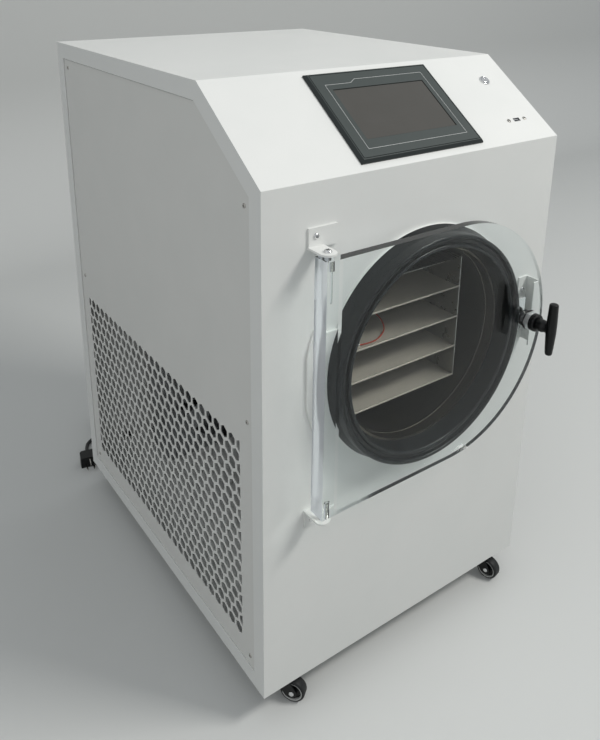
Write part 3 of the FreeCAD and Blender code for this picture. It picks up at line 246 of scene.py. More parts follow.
def copyPiece(piece, matrix):
    pick(piece)
    bpy.ops.object.duplicate()
    return placeMesh(bpy.context.object, matrix)


def copyNode(name, width, segments=2, angle=35):
    # the solid with its doubles merged, its triangles paired and its edges eased
    mesh = nodes[name].data.copy()
    piece = bpy.data.objects.new(name + "_eased", mesh)
    bpy.context.scene.collection.objects.link(piece)
    editMode(piece)
    bpy.ops.mesh.remove_doubles(threshold=2e-6)
    bpy.ops.mesh.tris_convert_to_quads(face_threshold=math.radians(0.4), shape_threshold=math.pi)
    objectMode()
    return softenEdges(piece, width, segments, angle)


def finish(piece, name, material, body, slot, *stands):
    # names a piece, gives it its finish and its body, and hides the solids that it stands for
    piece.name = name
    piece.data.name = name
    piece.data.materials.clear()
    piece.data.materials.append(material)
    for polygon in piece.data.polygons:
        polygon.material_index = 0
    if stands:
        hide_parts(*stands)
    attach(piece, body)
    return piece


def easeNode(node, name, material, body, slot, width, segments=2, angle=35):
    # a solid whose form is right: a copy with eased edges stands for it
    return finish(copyNode(node, width, segments, angle), name, material, body, slot, node)


def paintWhere(piece, material, test):
    # a second finish on the faces that pass a test of their middle and normal
    piece.data.materials.append(material)
    for polygon in piece.data.polygons:
        if test(polygon.center, polygon.normal):
            polygon.material_index = len(piece.data.materials) - 1
    return piece


# Materials. A pattern's scale is one over its real size in metres.
def toLinear(hexColour):
    channels = [int(hexColour[i:i + 2], 16) / 255 for i in (1, 3, 5)]
    linear = [c / 12.92 if c <= 0.04045 else ((c + 0.055) / 1.055) ** 2.4 for c in channels]
    return (*linear, 1)


def addNode(material, kind, inputs=None, **settings):
    # an input is a value, or a pair of a node and the name of its output
    node = material.node_tree.nodes.new(kind)
    for name, setting in settings.items():
        setattr(node, name, setting)
    for name, source in (inputs or {}).items():
        if isinstance(source, tuple) and isinstance(source[0], bpy.types.Node):
            material.node_tree.links.new(source[0].outputs[source[1]], node.inputs[name])
        else:
            node.inputs[name].default_value = source
    return node


def emptyMaterial(name):
    material = bpy.data.materials.new(name)
    material.use_nodes = True
    material.node_tree.nodes.clear()
    return material


def powderCoat(name, light, dark):
    # polyester powder coat, baked: an even satin skin with a fine orange peel and a little handling dirt
    material = emptyMaterial(name)
    place = addNode(material, "ShaderNodeTexCoord")
    cloud = addNode(material, "ShaderNodeTexNoise", {"Vector": (place, "Object"), "Scale": 1 / 0.09,
                                                    "Detail": 3, "Roughness": 0.55})
    colour = addNode(material, "ShaderNodeMix", {0: (cloud, "Fac"), 6: toLinear(dark),
                                                7: toLinear(light)}, data_type="RGBA")
    rough = addNode(material, "ShaderNodeMapRange", {"Value": (cloud, "Fac"), "To Min": 0.36,
                                                    "To Max": 0.50})
    peel = addNode(material, "ShaderNodeTexNoise", {"Vector": (place, "Object"), "Scale": 1 / 0.0022,
                                                   "Detail": 2, "Roughness": 0.5})
    bump = addNode(material, "ShaderNodeBump", {"Height": (peel, "Fac"), "Strength": 0.10,
                                               "Distance": 0.0004})
    surface = addNode(material, "ShaderNodeBsdfPrincipled", {
        "Base Color": (colour, 2), "Roughness": (rough, "Result"), "IOR": 1.5,
        "Normal": (bump, "Normal")})
    addNode(material, "ShaderNodeOutputMaterial", {"Surface": (surface, 0)})
    return material


def brushedSteel(name, light, dark, stretch, low, high, metallic=1.0):
    # cold-rolled stainless, brushed along one way: long fine streaks that spread the highlights
    material = emptyMaterial(name)
    place = addNode(material, "ShaderNodeTexCoord")
    along = addNode(material, "ShaderNodeMapping", {"Vector": (place, "Object"), "Scale": stretch})
    streak = addNode(material, "ShaderNodeTexNoise", {"Vector": (along, "Vector"), "Scale": 1.0,
                                                     "Detail": 3, "Roughness": 0.6})
    colour = addNode(material, "ShaderNodeMix", {0: (streak, "Fac"), 6: toLinear(dark),
                                                7: toLinear(light)}, data_type="RGBA")
    rough = addNode(material, "ShaderNodeMapRange", {"Value": (streak, "Fac"), "To Min": low,
                                                    "To Max": high})
    bump = addNode(material, "ShaderNodeBump", {"Height": (streak, "Fac"), "Strength": 0.08,
                                               "Distance": 0.0002})
    surface = addNode(material, "ShaderNodeBsdfPrincipled", {
        "Base Color": (colour, 2), "Metallic": metallic, "Roughness": (rough, "Result"),
        "Normal": (bump, "Normal")})
    addNode(material, "ShaderNodeOutputMaterial", {"Surface": (surface, 0)})
    return material


def plainMetal(name, colour, roughness, grain):
    # turned, pressed or plated metal: nearly even, with a faint cloudiness from plating and handling
    material = emptyMaterial(name)
    place = addNode(material, "ShaderNodeTexCoord")
    cloud = addNode(material, "ShaderNodeTexNoise", {"Vector": (place, "Object"), "Scale": 1 / grain,
                                                    "Detail": 4, "Roughness": 0.6})
    rough = addNode(material, "ShaderNodeMapRange", {"Value": (cloud, "Fac"), "To Min": roughness * 0.7,
                                                    "To Max": roughness * 1.4})
    bump = addNode(material, "ShaderNodeBump", {"Height": (cloud, "Fac"), "Strength": 0.05,
                                               "Distance": 0.0002})
    surface = addNode(material, "ShaderNodeBsdfPrincipled", {
        "Base Color": toLinear(colour), "Metallic": 1.0, "Roughness": (rough, "Result"),
        "Normal": (bump, "Normal")})
    addNode(material, "ShaderNodeOutputMaterial", {"Surface": (surface, 0)})
    return material


def mouldedPlastic(name, light, dark, roughness, grain, strength):
    # injection-moulded ABS or nylon: a fine spark-eroded grain from the tool
    material = emptyMaterial(name)
    place = addNode(material, "ShaderNodeTexCoord")
    cloud = addNode(material, "ShaderNodeTexNoise", {"Vector": (place, "Object"), "Scale": 1 / 0.03,
                                                    "Detail": 3, "Roughness": 0.6})
    colour = addNode(material, "ShaderNodeMix", {0: (cloud, "Fac"), 6: toLinear(dark),
                                                7: toLinear(light)}, data_type="RGBA")
    fine = addNode(material, "ShaderNodeTexNoise", {"Vector": (place, "Object"), "Scale": 1 / grain,
                                                   "Detail": 2, "Roughness": 0.6})
    bump = addNode(material, "ShaderNodeBump", {"Height": (fine, "Fac"), "Strength": strength,
                                               "Distance": 0.0002})
    surface = addNode(material, "ShaderNodeBsdfPrincipled", {
        "Base Color": (colour, 2), "Specular IOR Level": 0.3, "Roughness": roughness, "IOR": 1.5,
        "Normal": (bump, "Normal")})
    addNode(material, "ShaderNodeOutputMaterial", {"Surface": (surface, 0)})
    return material


def castAcrylic(name, roughness, scratch, mirror, haze):
    # cast acrylic sheet: clear, with a faint image of the room on polished faces and a milky bloom on
    # scraped ones, and it lets light through to what is behind
    material = emptyMaterial(name)
    place = addNode(material, "ShaderNodeTexCoord")
    wave = addNode(material, "ShaderNodeTexNoise", {"Vector": (place, "Object"), "Scale": 1 / 0.012,
                                                   "Detail": 3, "Roughness": 0.6})
    bump = addNode(material, "ShaderNodeBump", {"Height": (wave, "Fac"), "Strength": scratch,
                                               "Distance": 0.0004})
    skin = {"Roughness": roughness, "Normal": (bump, "Normal")}
    bent = addNode(material, "ShaderNodeBsdfRefraction", {"Color": toLinear("#FBFDFD"), "IOR": 1.49,
                                                         **skin})
    image = addNode(material, "ShaderNodeBsdfGlossy", {"Color": toLinear("#FFFFFF"), **skin})
    share = addNode(material, "ShaderNodeFresnel", {"IOR": 1.49, "Normal": (bump, "Normal")})
    weaker = addNode(material, "ShaderNodeMath", {0: (share, 0), 1: mirror}, operation="POWER")
    clear = addNode(material, "ShaderNodeMixShader", {0: (weaker, 0), 1: (bent, 0), 2: (image, 0)})
    bloom = addNode(material, "ShaderNodeBsdfTranslucent", {"Color": toLinear("#E9EEF6")})
    surface = addNode(material, "ShaderNodeMixShader", {0: haze, 1: (clear, 0), 2: (bloom, 0)})
    through = addNode(material, "ShaderNodeBsdfTransparent", {"Color": toLinear("#F4F6F6")})
    rays = addNode(material, "ShaderNodeLightPath")
    either = addNode(material, "ShaderNodeMixShader", {0: (rays, "Is Shadow Ray"), 1: (surface, 0),
                                                      2: (through, 0)})
    addNode(material, "ShaderNodeOutputMaterial", {"Surface": (either, 0)})
    return material


paint = powderCoat("white polyester powder coat, baked", "#EDEEEC", "#E6E8E6")
panelPaint = powderCoat("grey-white powder coat on the side sheets", "#E4E4E1", "#DCDDDA")
# the drum's steel is painted much darker than stainless: painted shade for the dim inside of the chamber
drumSteelPaintedShade = brushedSteel("stainless drum, rolled and brushed", "#7B756B", "#56524B", (40, 900, 40),
                         0.24, 0.44)
beadSteel = brushedSteel("stainless weld bead, as laid", "#6E695F", "#47433C", (200, 200, 200),
                         0.25, 0.5)
shelfSteel = brushedSteel("stainless shelf sheet, bright rolled", "#CDC5B9", "#B5ADA2", (30, 700, 30),
                          0.28, 0.44, metallic=0.15)
rackSteel = brushedSteel("stainless rack sheet, folded and brushed", "#C9C7C2", "#A5A39E", (700, 30, 30),
                         0.2, 0.38)
zinc = plainMetal("sheet steel, zinc plated", "#B9BCBE", 0.34, 0.02)
screwSteel = plainMetal("machine screw, nickel plated", "#BDBBB6", 0.22, 0.002)
chrome = plainMetal("chromium-plated brass, polished", "#D9DADB", 0.10, 0.004)
nutSteel = plainMetal("steel nut, bright zinc plated", "#E4E6E7", 0.34, 0.003)
castAlloy = plainMetal("aluminium fins and blades, mill finish", "#C4C7C9", 0.38, 0.01)
insertMetal = plainMetal("threaded insert, nickel-plated brass", "#C9C8C2", 0.25, 0.003)
copper = plainMetal("copper tube, drawn", "#B87A55", 0.25, 0.01)
blackPlastic = mouldedPlastic("black nylon, moulded", "#0E1011", "#090A0B", 0.38, 0.0009, 0.12)
bezelPlastic = mouldedPlastic("grey ABS, moulded with a fine grain", "#464D4C", "#404746",
                              0.48, 0.0009, 0.10)
bezelRimPaintedShade = mouldedPlastic("grey ABS, shadowed rim of the bezel", "#2C3232", "#262C2C",
                           0.42, 0.0009, 0.10)
enamel = mouldedPlastic("black enamel on pressed steel", "#121314", "#0B0C0D", 0.25, 0.004, 0.05)
sealRubber = mouldedPlastic("nitrile rubber, moulded and washed", "#171B1D", "#111416", 0.34, 0.004, 0.10)
# painted shade: a black finish under each shelf, which darkens the gaps between the shelves
shelfUndersideShade = mouldedPlastic("black painted shade under a shelf", "#1B1C1D", "#141516",
                           0.6, 0.002, 0.1)
softRubber = mouldedPlastic("foam rubber, closed cell", "#1C1E1F", "#141617", 0.7, 0.0015, 0.25)
tyre = mouldedPlastic("grey-black polyurethane tyre", "#232526", "#1A1C1D", 0.5, 0.001, 0.1)
rimPlastic = mouldedPlastic("light grey nylon wheel rim", "#C9CBC9", "#BABCBA", 0.35, 0.001, 0.05)
cablePvc = mouldedPlastic("black PVC cable sheath, extruded", "#191B1C", "#121415", 0.42, 0.0015, 0.06)
leadSilicone = mouldedPlastic("orange-red silicone lead", "#B4472F", "#A63F29", 0.4, 0.001, 0.04)
acrylic = castAcrylic("cast acrylic sheet, polished", 0.0, 0.0, 1.4, 0.0)
acrylicEdge = castAcrylic("cast acrylic, saw-cut and scraped", 0.08, 0.5, 1.0, 0.04)
acrylicSawn = castAcrylic("cast acrylic, sawn and scraped", 0.28, 0.9, 1.0, 0.5)
# The bar's inner side is cast acrylic too, but it lets rays pass straight, so it shows no bright stripe.
acrylicSeam = emptyMaterial("cast acrylic, inner side of the hinge bar")
straightThrough = addNode(acrylicSeam, "ShaderNodeBsdfTransparent")
addNode(acrylicSeam, "ShaderNodeOutputMaterial", {"Surface": (straightThrough, 0)})
glassSheet = mouldedPlastic("touch glass, etched against glare", "#514F4C", "#4B4A46", 0.30, 0.002, 0.01)
printWhite = mouldedPlastic("white screen print", "#D8DAD9", "#CFD1D0", 0.5, 0.002, 0.02)
print("materials made")


# The mains lead leaves the gland at the back, lies in a coil and ends in its plug. The sensor lead comes
# from the feed-through in the back of the chamber and lies on the third shelf.
lead = {
    "diameter": 0.008,
    "fall": [(-0.194, 0.4157, 0.090), (-0.194, 0.449, 0.087), (-0.195, 0.483, 0.072),
             (-0.196, 0.512, 0.050), (-0.1955, 0.538, 0.033), (-0.194, 0.566, 0.020)],
    "coilMiddle": (-0.148, 0.566),
    "coilRadii": (0.046, 0.038),
    "coilTurns": 5.75,
    "pointsPerTurn": 12,
    "coilHeights": (0.020, 0.004),
    "plugEnd": [(-0.1495, 0.520, 0.004), (-0.187, 0.5275, 0.004), (-0.226, 0.522, 0.004),
                (-0.250, 0.499, 0.007), (-0.257, 0.468, 0.012)],
    "plugLength": 0.040,  # from the end of the lead to the face that the pins stand on
    "length": 1.83,
}
sensorLead = {
    "diameter": 0.002,
    "run": [(-.030, .056, .600), (-.029, .024, .5982), (-.027, -.009, .5852), (-.025, -.049, .5712),
            (-.024, -.099, .5662), (-.023, -.149, .5672), (-.021, -.189, .5752), (-.018, -.217, .5842),
            (-.015, -.237, .5792), (-.020, -.255, .5692), (-.040, -.267, .5662), (-.062, -.2745, .5662),
            (-.084, -.271, .5674)],
    "length": 0.389,
}


def coilPoints():
    # turns that narrow and widen again as they come down to the floor
    middle, (wide, narrow), turns = lead["coilMiddle"], lead["coilRadii"], lead["coilTurns"]
    high, low = lead["coilHeights"]
    perTurn = lead["pointsPerTurn"]
    steps = int(perTurn * turns)
    points = []
    for step in range(steps + 1):
        angle = math.radians(180) - math.radians(360) * step / perTurn
        share = step / steps
        ring = 0.5 - 0.5 * math.cos(math.pi * turns * share)
        radius = wide + (narrow - wide) * ring
        height = high + (low - high) * share
        across = middle[0] + radius * math.cos(angle)
        along = middle[1] + radius * math.sin(angle)
        points.append((across, along, height))
    return points


def makeCord(name, points, diameter, material):
    curve = bpy.data.curves.new(name, "CURVE")
    curve.dimensions = "3D"
    spline = curve.splines.new("NURBS")
    spline.points.add(len(points) - 1)
    for point, place in zip(spline.points, points):
        point.co = (*place, 1)
    spline.order_u = 3
    spline.use_endpoint_u = True
    curve.resolution_u = 8
    curve.bevel_depth = diameter / 2
    curve.bevel_resolution = 5
    curve.use_fill_caps = True
    piece = bpy.data.objects.new(name, curve)
    bpy.context.scene.collection.objects.link(piece)
    curve.materials.append(material)
    return piece


def makeLeads():
    points = lead["fall"] + coilPoints()[1:] + lead["plugEnd"][1:]
    mains = makeCord("mains_lead", points, lead["diameter"], cablePvc)
    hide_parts("power_cord", "power_cord_coil", "power_cord_end")
    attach(mains, "cabinet")
    sensor = makeCord("sensor_lead_silicone", sensorLead["run"], sensorLead["diameter"], leadSilicone)
    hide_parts("sensor_lead")
    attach(sensor, "cabinet")


makeLeads()
print("leads laid")

studio = {
    "floorSize": 9.0,
    "wallBehind": 2.2,
    "wallHeight": 4.5,
    "sweep": 0.6,
    "paper": ("#D2D4D3", "#8C8F8D"),  # as seen, and as it bounces light on to the object
    "world": ("#F1F4F6", 0.65, (-0.08, 0.24, 0.10)),  # colour, strength, and the way in which it grows
    "key": ((1.97, -2.24, 3.55), (1.3, 0.5), 83, "#FFFDF8"),  # place, size, watts and colour
    "fill": ((-2.6, -1.4, 1.8), (1.6, 1.6), 4, "#FFF8F0"),
    "aim": (0, 0, 0.5),
    "near": 0.01,  # an edge this close to a line lies on it
}


def makeStage():
    # matt studio paper, swept up behind the object: pale where it is seen, duller as it lights the object
    paper = emptyMaterial("pale studio paper")
    pale, dull = studio["paper"]
    rays = addNode(paper, "ShaderNodeLightPath")
    seen = addNode(paper, "ShaderNodeMath", {0: (rays, "Is Camera Ray"),
                                            1: (rays, "Is Transmission Ray")})
    seen = addNode(paper, "ShaderNodeMath", {0: (seen, 0), 1: (rays, "Is Glossy Ray")}, use_clamp=True)
    colour = addNode(paper, "ShaderNodeMix", {0: (seen, 0), 6: toLinear(dull), 7: toLinear(pale)},
                     data_type="RGBA")
    surface = addNode(paper, "ShaderNodeBsdfPrincipled", {"Base Color": (colour, 2), "Roughness": 0.8})
    addNode(paper, "ShaderNodeOutputMaterial", {"Surface": (surface, 0)})
    deselectAll()
    bpy.ops.mesh.primitive_plane_add(size=studio["floorSize"], location=(0, 0, 0))
    floor = bpy.context.object
    floor.name = "floor"
    back, wall, near = studio["floorSize"] / 2, studio["wallBehind"], studio["near"]
    editMode(floor, "EDGE")
    selectWhere(floor, "EDGE", lambda middle, run: middle.y > back - near)
    bpy.ops.transform.translate(value=(0, wall - back, 0))
    extrude(0, 0, studio["wallHeight"])
    selectWhere(floor, "EDGE", lambda middle, run: abs(middle.y - wall) < near and abs(middle.z) < near)
    bpy.ops.mesh.bevel(offset=studio["sweep"], segments=12, affect="EDGES")
    objectMode()
    bpy.ops.object.shade_smooth()
    floor.data.materials.append(paper)


def addLamp(name):
    place, size, watts, colour = studio[name]
    deselectAll()
    bpy.ops.object.light_add(type="AREA", location=place)
    lamp = bpy.context.object
    lamp.name = name
    lamp.rotation_euler = (Vector(studio["aim"]) - Vector(place)).to_track_quat("-Z", "Y").to_euler()
    lamp.data.shape = "RECTANGLE"
    lamp.data.size, lamp.data.size_y = size
    lamp.data.energy = watts
    lamp.data.color = toLinear(colour)[:3]


def makeLight():
    world = bpy.data.worlds.new("studio")
    bpy.context.scene.world = world
    world.use_nodes = True
    world.node_tree.nodes.clear()
    # brighter overhead, behind and to the left than in front, so the chamber keeps its depth
    colour, strength, slope = studio["world"]
    way = addNode(world, "ShaderNodeTexCoord")
    rise = addNode(world, "ShaderNodeVectorMath", {0: (way, "Generated"), 1: slope},
                   operation="DOT_PRODUCT")
    level = addNode(world, "ShaderNodeMath", {0: (rise, "Value"), 1: strength})
    glow = addNode(world, "ShaderNodeBackground", {"Color": toLinear(colour), "Strength": (level, 0)})
    addNode(world, "ShaderNodeOutputWorld", {"Surface": (glow, 0)})
    addLamp("key")
    addLamp("fill")


makeStage()
makeLight()
print("stage and lamps set")

cabinet = {
    "slopeFoot": 0.790,  # above the cabinet's underside
    "slopeRun": 0.154,
    "border": 0.028,  # the side sheets start this far inside the cabinet's outline
    "recess": 0.0015,
    "gauge": 0.0012,
    "gap": 0.0010,
    # gauge of the black strip of painted shade in the gap round each side sheet
    "foam": 0.0008,
    "fold": 0.0013,
    "trayFold": 0.0006,
    "rearFold": 0.0003,
    "flangeEdge": 0.0006,
    "easeAngle": 30,  # edges that turn more than this are eased
}
shellLow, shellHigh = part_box("cabinet_shell")
frontY, rearY = shellLow.y, shellHigh.y
baseZ, topZ = shellLow.z, shellHigh.z
slopeAngle = math.atan2(topZ - baseZ - cabinet["slopeFoot"], cabinet["slopeRun"])
slopeUp = Vector((0, math.cos(slopeAngle), math.sin(slopeAngle)))


def onSlope(x, run):
    # a frame on the sloping panel: X to the right, Y up the slope, Z out of it
    foot = Vector((x, frontY, baseZ + cabinet["slopeFoot"])) + slopeUp * run
    return Matrix.Translation(foot) @ Matrix.Rotation(slopeAngle, 4, "X")


def onPanel(x, z, y=frontY):
    # a frame on the front panel: X to the right, Y up, Z towards the user
    return Matrix.Translation((x, y, z)) @ Matrix.Rotation(math.pi / 2, 4, "X")


def onSide(x, y, z):
    # a frame on a side sheet: X to the back, Y up, Z to the right
    cycle = Matrix(((0, 0, 1, 0), (1, 0, 0, 0), (0, 1, 0, 0), (0, 0, 0, 1)))
    return Matrix.Translation((x, y, z)) @ cycle


def makeShell():
    angle = cabinet["easeAngle"]
    easeNode("cabinet_shell", "painted_shell", paint, "cabinet", "powder_coat", cabinet["fold"], 3, angle)
    easeNode("base_tray", "painted_base_tray", paint, "cabinet", "powder_coat",
             cabinet["trayFold"], 2, angle)
    easeNode("rear_panel", "painted_rear_panel", panelPaint, "cabinet", "powder_coat",
             cabinet["rearFold"], 1, angle)
    easeNode("drum_flange", "painted_drum_flange", paint, "cabinet", "powder_coat",
             cabinet["flangeEdge"], 2, angle)


makeShell()
print("cabinet painted")

vents = {
    "flats": 0.0175,
    "pitch": 0.022,
    "rise": 0.0194,
    "rows": 9,  # of each of the two rows that take turns
    "columns": 25,
    "setback": 0.0835,  # middle of the first whole hole of the top row, from the front panel
    "topRise": 0.404,  # middle of the top row, above the cabinet's underside
}
sideScrews = {
    "setbacks": (0.040, 0.644),
    "rises": ((0.046, 0.455, 0.762), (0.046, 0.455, 0.858)),
    "shank": 0.0016,
    "twist": 37,  # degrees between the crosses of two screws
}


def screwSpots():
    return [(setback, rise) for setback, rises in zip(sideScrews["setbacks"], sideScrews["rises"])
            for rise in rises]


def sheetOutline(inset):
    # the side view of the cabinet, moved inwards, from its front lower corner
    depth, height, foot = rearY - frontY, topZ - baseZ, cabinet["slopeFoot"]
    lean = math.tan(slopeAngle)
    slant = inset / math.cos(slopeAngle)
    crest = (height - inset - foot + slant) / lean
    return [(inset, inset, 0), (depth - inset, inset, 0), (depth - inset, height - inset, 0),
            (crest, height - inset, 0), (inset, foot + inset * lean - slant, 0)]


def repeat(piece, name, count, x, y):
    pick(piece)
    array = piece.modifiers.new(name, "ARRAY")
    array.count = count
    array.use_relative_offset = False
    array.use_constant_offset = True
    array.constant_offset_displace = (x, y, 0)
    bpy.ops.object.modifier_apply(modifier=name)
    return piece


def addRing(corners, radius, x, y):
    deselectAll()
    bpy.ops.mesh.primitive_circle_add(vertices=corners, radius=radius, fill_type="NOTHING",
                                      location=(x, y, 0))
    ring = bpy.context.object
    bpy.ops.object.transform_apply(location=True, rotation=True, scale=True)
    return ring


def halveRing(ring, middle, side):
    # keeps the half of a hexagon on one side of its middle and closes it with a straight edge
    editMode(ring)
    selectWhere(ring, "VERT", lambda spot, normal: (spot.x - middle) * side < -nearly)
    bpy.ops.mesh.delete(type="VERT")
    selectWhere(ring, "VERT", lambda spot, normal: abs(spot.x - middle) < nearly)
    bpy.ops.mesh.edge_face_add()
    objectMode()
    return ring


def giveGauge(sheet, gauge):
    # gives a flat sheet its thickness
    selectAll()
    extrude(0, 0, gauge)
    faceOutwards()
    return smoothShade(sheet, 20)


def makeSideSheet():
    # outline, vents and screw holes are drawn flat, filled between as one face, and given the gauge
    corner = vents["flats"] / 2 / math.cos(math.radians(30))
    first, top, pitch = vents["setback"], vents["topRise"], vents["pitch"]
    down = -2 * vents["rise"]
    rings = [repeat(addRing(6, corner, first, top), "Along", vents["columns"], pitch, 0),
             repeat(addRing(6, corner, first - pitch / 2, top + down / 2), "Along", vents["columns"] + 1,
                    pitch, 0)]
    last = first + vents["columns"] * pitch
    rings.append(halveRing(addRing(6, corner, first - pitch, top), first - pitch, 1))
    rings.append(halveRing(addRing(6, corner, last, top), last, -1))
    rings = [repeat(ring, "Down", vents["rows"], 0, down) for ring in rings]
    rings += [addRing(16, sideScrews["shank"], x, y) for x, y in screwSpots()]
    sheet = join([*rings, drawLine(sheetOutline(cabinet["border"]), closed=True)])
    editMode(sheet, "EDGE")
    bpy.ops.mesh.fill(use_beauty=True)
    return giveGauge(sheet, cabinet["gauge"])


def makeGapShadeStrip():
    # a black strip between the ledge and the sheet: painted shade that stands for the dark line of the
    # deep gap, finished as foam rubber
    wide = (cabinet["border"] - cabinet["gap"], cabinet["border"])
    strip = join([drawLine(sheetOutline(inset), closed=True) for inset in wide])
    editMode(strip, "EDGE")
    bpy.ops.mesh.bridge_edge_loops()
    return giveGauge(strip, cabinet["foam"])


def makeSideSheets():
    side = shellHigh.x - cabinet["recess"]
    inner = side - cabinet["gauge"]
    flat = makeSideSheet()
    right = copyPiece(flat, onSide(inner, frontY, baseZ))
    left = placeMesh(flat, onSide(-side, frontY, baseZ))
    finish(left, "left_vented_sheet", panelPaint, "cabinet", "perforated_sheet", "left_side_panel")
    finish(right, "right_vented_sheet", panelPaint, "cabinet", "perforated_sheet", "right_side_panel")
    strip = makeGapShadeStrip()
    rightStrip = copyPiece(strip, onSide(inner, frontY, baseZ))
    leftStrip = placeMesh(strip, onSide(-inner - cabinet["foam"], frontY, baseZ))
    # the strips are black painted shade in the gap, not a real gasket
    finish(leftStrip, "left_gap_painted_shade", softRubber, "cabinet", "foam_rubber")
    finish(rightStrip, "right_gap_painted_shade", softRubber, "cabinet", "foam_rubber")


makeSideSheets()
print("side sheets pierced")

panScrew = {"head": 0.0034, "crown": 0.0014, "shank": 0.0015, "length": 0.003, "cross": 20}
frontScrew = {"head": 0.004, "crown": 0.0024, "shank": 0.002, "length": 0.0038, "cross": 65}
pivotScrew = {"head": 0.0055, "crown": 0.0033, "shank": 0.003, "length": 0.0176, "cross": 30}
screwHead = {
    # shares of the crown's height
    "side": 0.55,
    "sideRound": 0.4,
    "crossFoot": 0.35,
    "crossTop": 1.5,
    # shares of the head's radius
    "flat": 0.72,
    "flatRound": 0.35,
    "slot": 0.14,
    "slotReach": 0.42,
}
screwPlaces = {
    "rearAcross": (-0.245, 0.0, 0.245),
    "rearRises": (0.0138, 0.8919),
    "rearFace": 0.3757,
    "rearTwist": 50,
    "portRun": 0.0435,
    "portX": 0.2175,
    "portSpread": 0.018,
    "front": ((-0.195, 0.772, 0.003), (-0.195, 0.342, 0.003), (0.21625, 0.530, 0.0025),
              (0.21625, 0.598, 0.0025)),  # across, height and the thickness under the head
    "bright": 0.0005,  # screws that stand this near the front panel's face, or before it, are chromed
}


def makeScrew(size):
    # a pan head with a cross recess; the recess is a plus pressed in from above
    head, crown, shank = size["head"], size["crown"], size["shank"]
    side = (head, crown * screwHead["side"], crown * screwHead["sideRound"])
    flat = (head * screwHead["flat"], crown, head * screwHead["flatRound"])
    screw = turned([(0, -size["length"]), (shank, -size["length"]), (shank, 0), (head, 0), side, flat,
                    (0, crown)], Matrix(), 24)
    slot = head * screwHead["slot"]
    tool = addBlock((-slot, -slot, crown * screwHead["crossFoot"]),
                    (slot, slot, crown * screwHead["crossTop"]))
    editMode(tool, "FACE")
    selectWhere(tool, "FACE", lambda middle, normal: abs(normal.z) < 0.5)
    bpy.ops.mesh.extrude_faces_move(TRANSFORM_OT_shrink_fatten={"value": head * screwHead["slotReach"]})
    objectMode()
    placeMesh(tool, Matrix.Rotation(math.radians(size["cross"]), 4, "Z"))
    return smoothShade(cutOut(screw, tool), 40)


def makeScrews():
    small, large = makeScrew(panScrew), makeScrew(frontScrew)
    face = shellHigh.x - cabinet["recess"]
    screws = []
    for i, (setback, rise) in enumerate(screwSpots()):
        twist = Matrix.Rotation(math.radians(sideScrews["twist"] * i), 4, "Z")
        y, z = frontY + setback, baseZ + rise
        screws.append(copyPiece(small, onSide(face, y, z) @ twist))
        screws.append(copyPiece(small, onSide(-face, y, z) @ Matrix.Rotation(math.pi, 4, "Y") @ twist))
    for rise in screwPlaces["rearRises"]:
        for i, x in enumerate(screwPlaces["rearAcross"]):
            back = onPanel(x, baseZ + rise, screwPlaces["rearFace"]) @ Matrix.Rotation(math.pi, 4, "Y")
            twist = Matrix.Rotation(math.radians(screwPlaces["rearTwist"] * i), 4, "Z")
            screws.append(copyPiece(small, back @ twist))
    for side in (-1, 1):
        spot = onSlope(screwPlaces["portX"], screwPlaces["portRun"])
        aside = Matrix.Translation((side * screwPlaces["portSpread"], 0, 0))
        screws.append(copyPiece(small, spot @ aside))
    for x, z, under in screwPlaces["front"]:
        screws.append(copyPiece(large, onPanel(x, z, frontY - under)))
    bpy.data.objects.remove(small)
    bpy.data.objects.remove(large)
    screws = join(screws)
    finish(screws, "pan_head_screws", screwSteel, "cabinet", "zinc_screw", "cabinet_screws")
    paintWhere(screws, chrome, lambda spot, normal: spot.y < frontY + screwPlaces["bright"])
    pivot = makeScrew(pivotScrew)
    low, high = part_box("pivot_screws")
    x, y = (low.x + high.x) / 2, (low.y + high.y) / 2
    top = Matrix.Translation((x, y, high.z - pivotScrew["crown"]))
    foot = Matrix.Translation((x, y, low.z + pivotScrew["crown"])) @ Matrix.Rotation(math.pi, 4, "X")
    lower = copyPiece(pivot, foot)
    pivots = join([lower, placeMesh(pivot, top)])
    finish(pivots, "pivot_pan_screws", chrome, "cabinet", "polished_steel", "pivot_screws")


makeScrews()
print("screws driven")

touchPanel = {
    "run": 0.0947,
    "size": (0.229, 0.166, 0.006),
    "chamfer": 0.0035,
    "groove": (0.0015, 0.0010, 0.0008),  # set in from the chamfer, width and depth
    "rim": 0.005,  # first inset inside the groove, before it is drawn in to the window
    "window": (0.1690, 0.0945),
    "recess": 0.0016,
    "ease": 0.0003,
    "glass": 0.0006,  # thickness
    "glassPlay": 0.0004,
    "glassLift": 0.0001,
    "glassBorder": 0.002,
    "glassEase": 0.0002,
    "body": (0.215, 0.152, 0.030),
    "frame": [(-0.0927, -0.0637), (0.0930, -0.0637), (0.0930, 0.0638), (-0.0370, 0.0638),
              (-0.0470, 0.0573), (-0.0927, 0.0573)],
    "line": 0.0005,
    "ink": 0.0001,
}


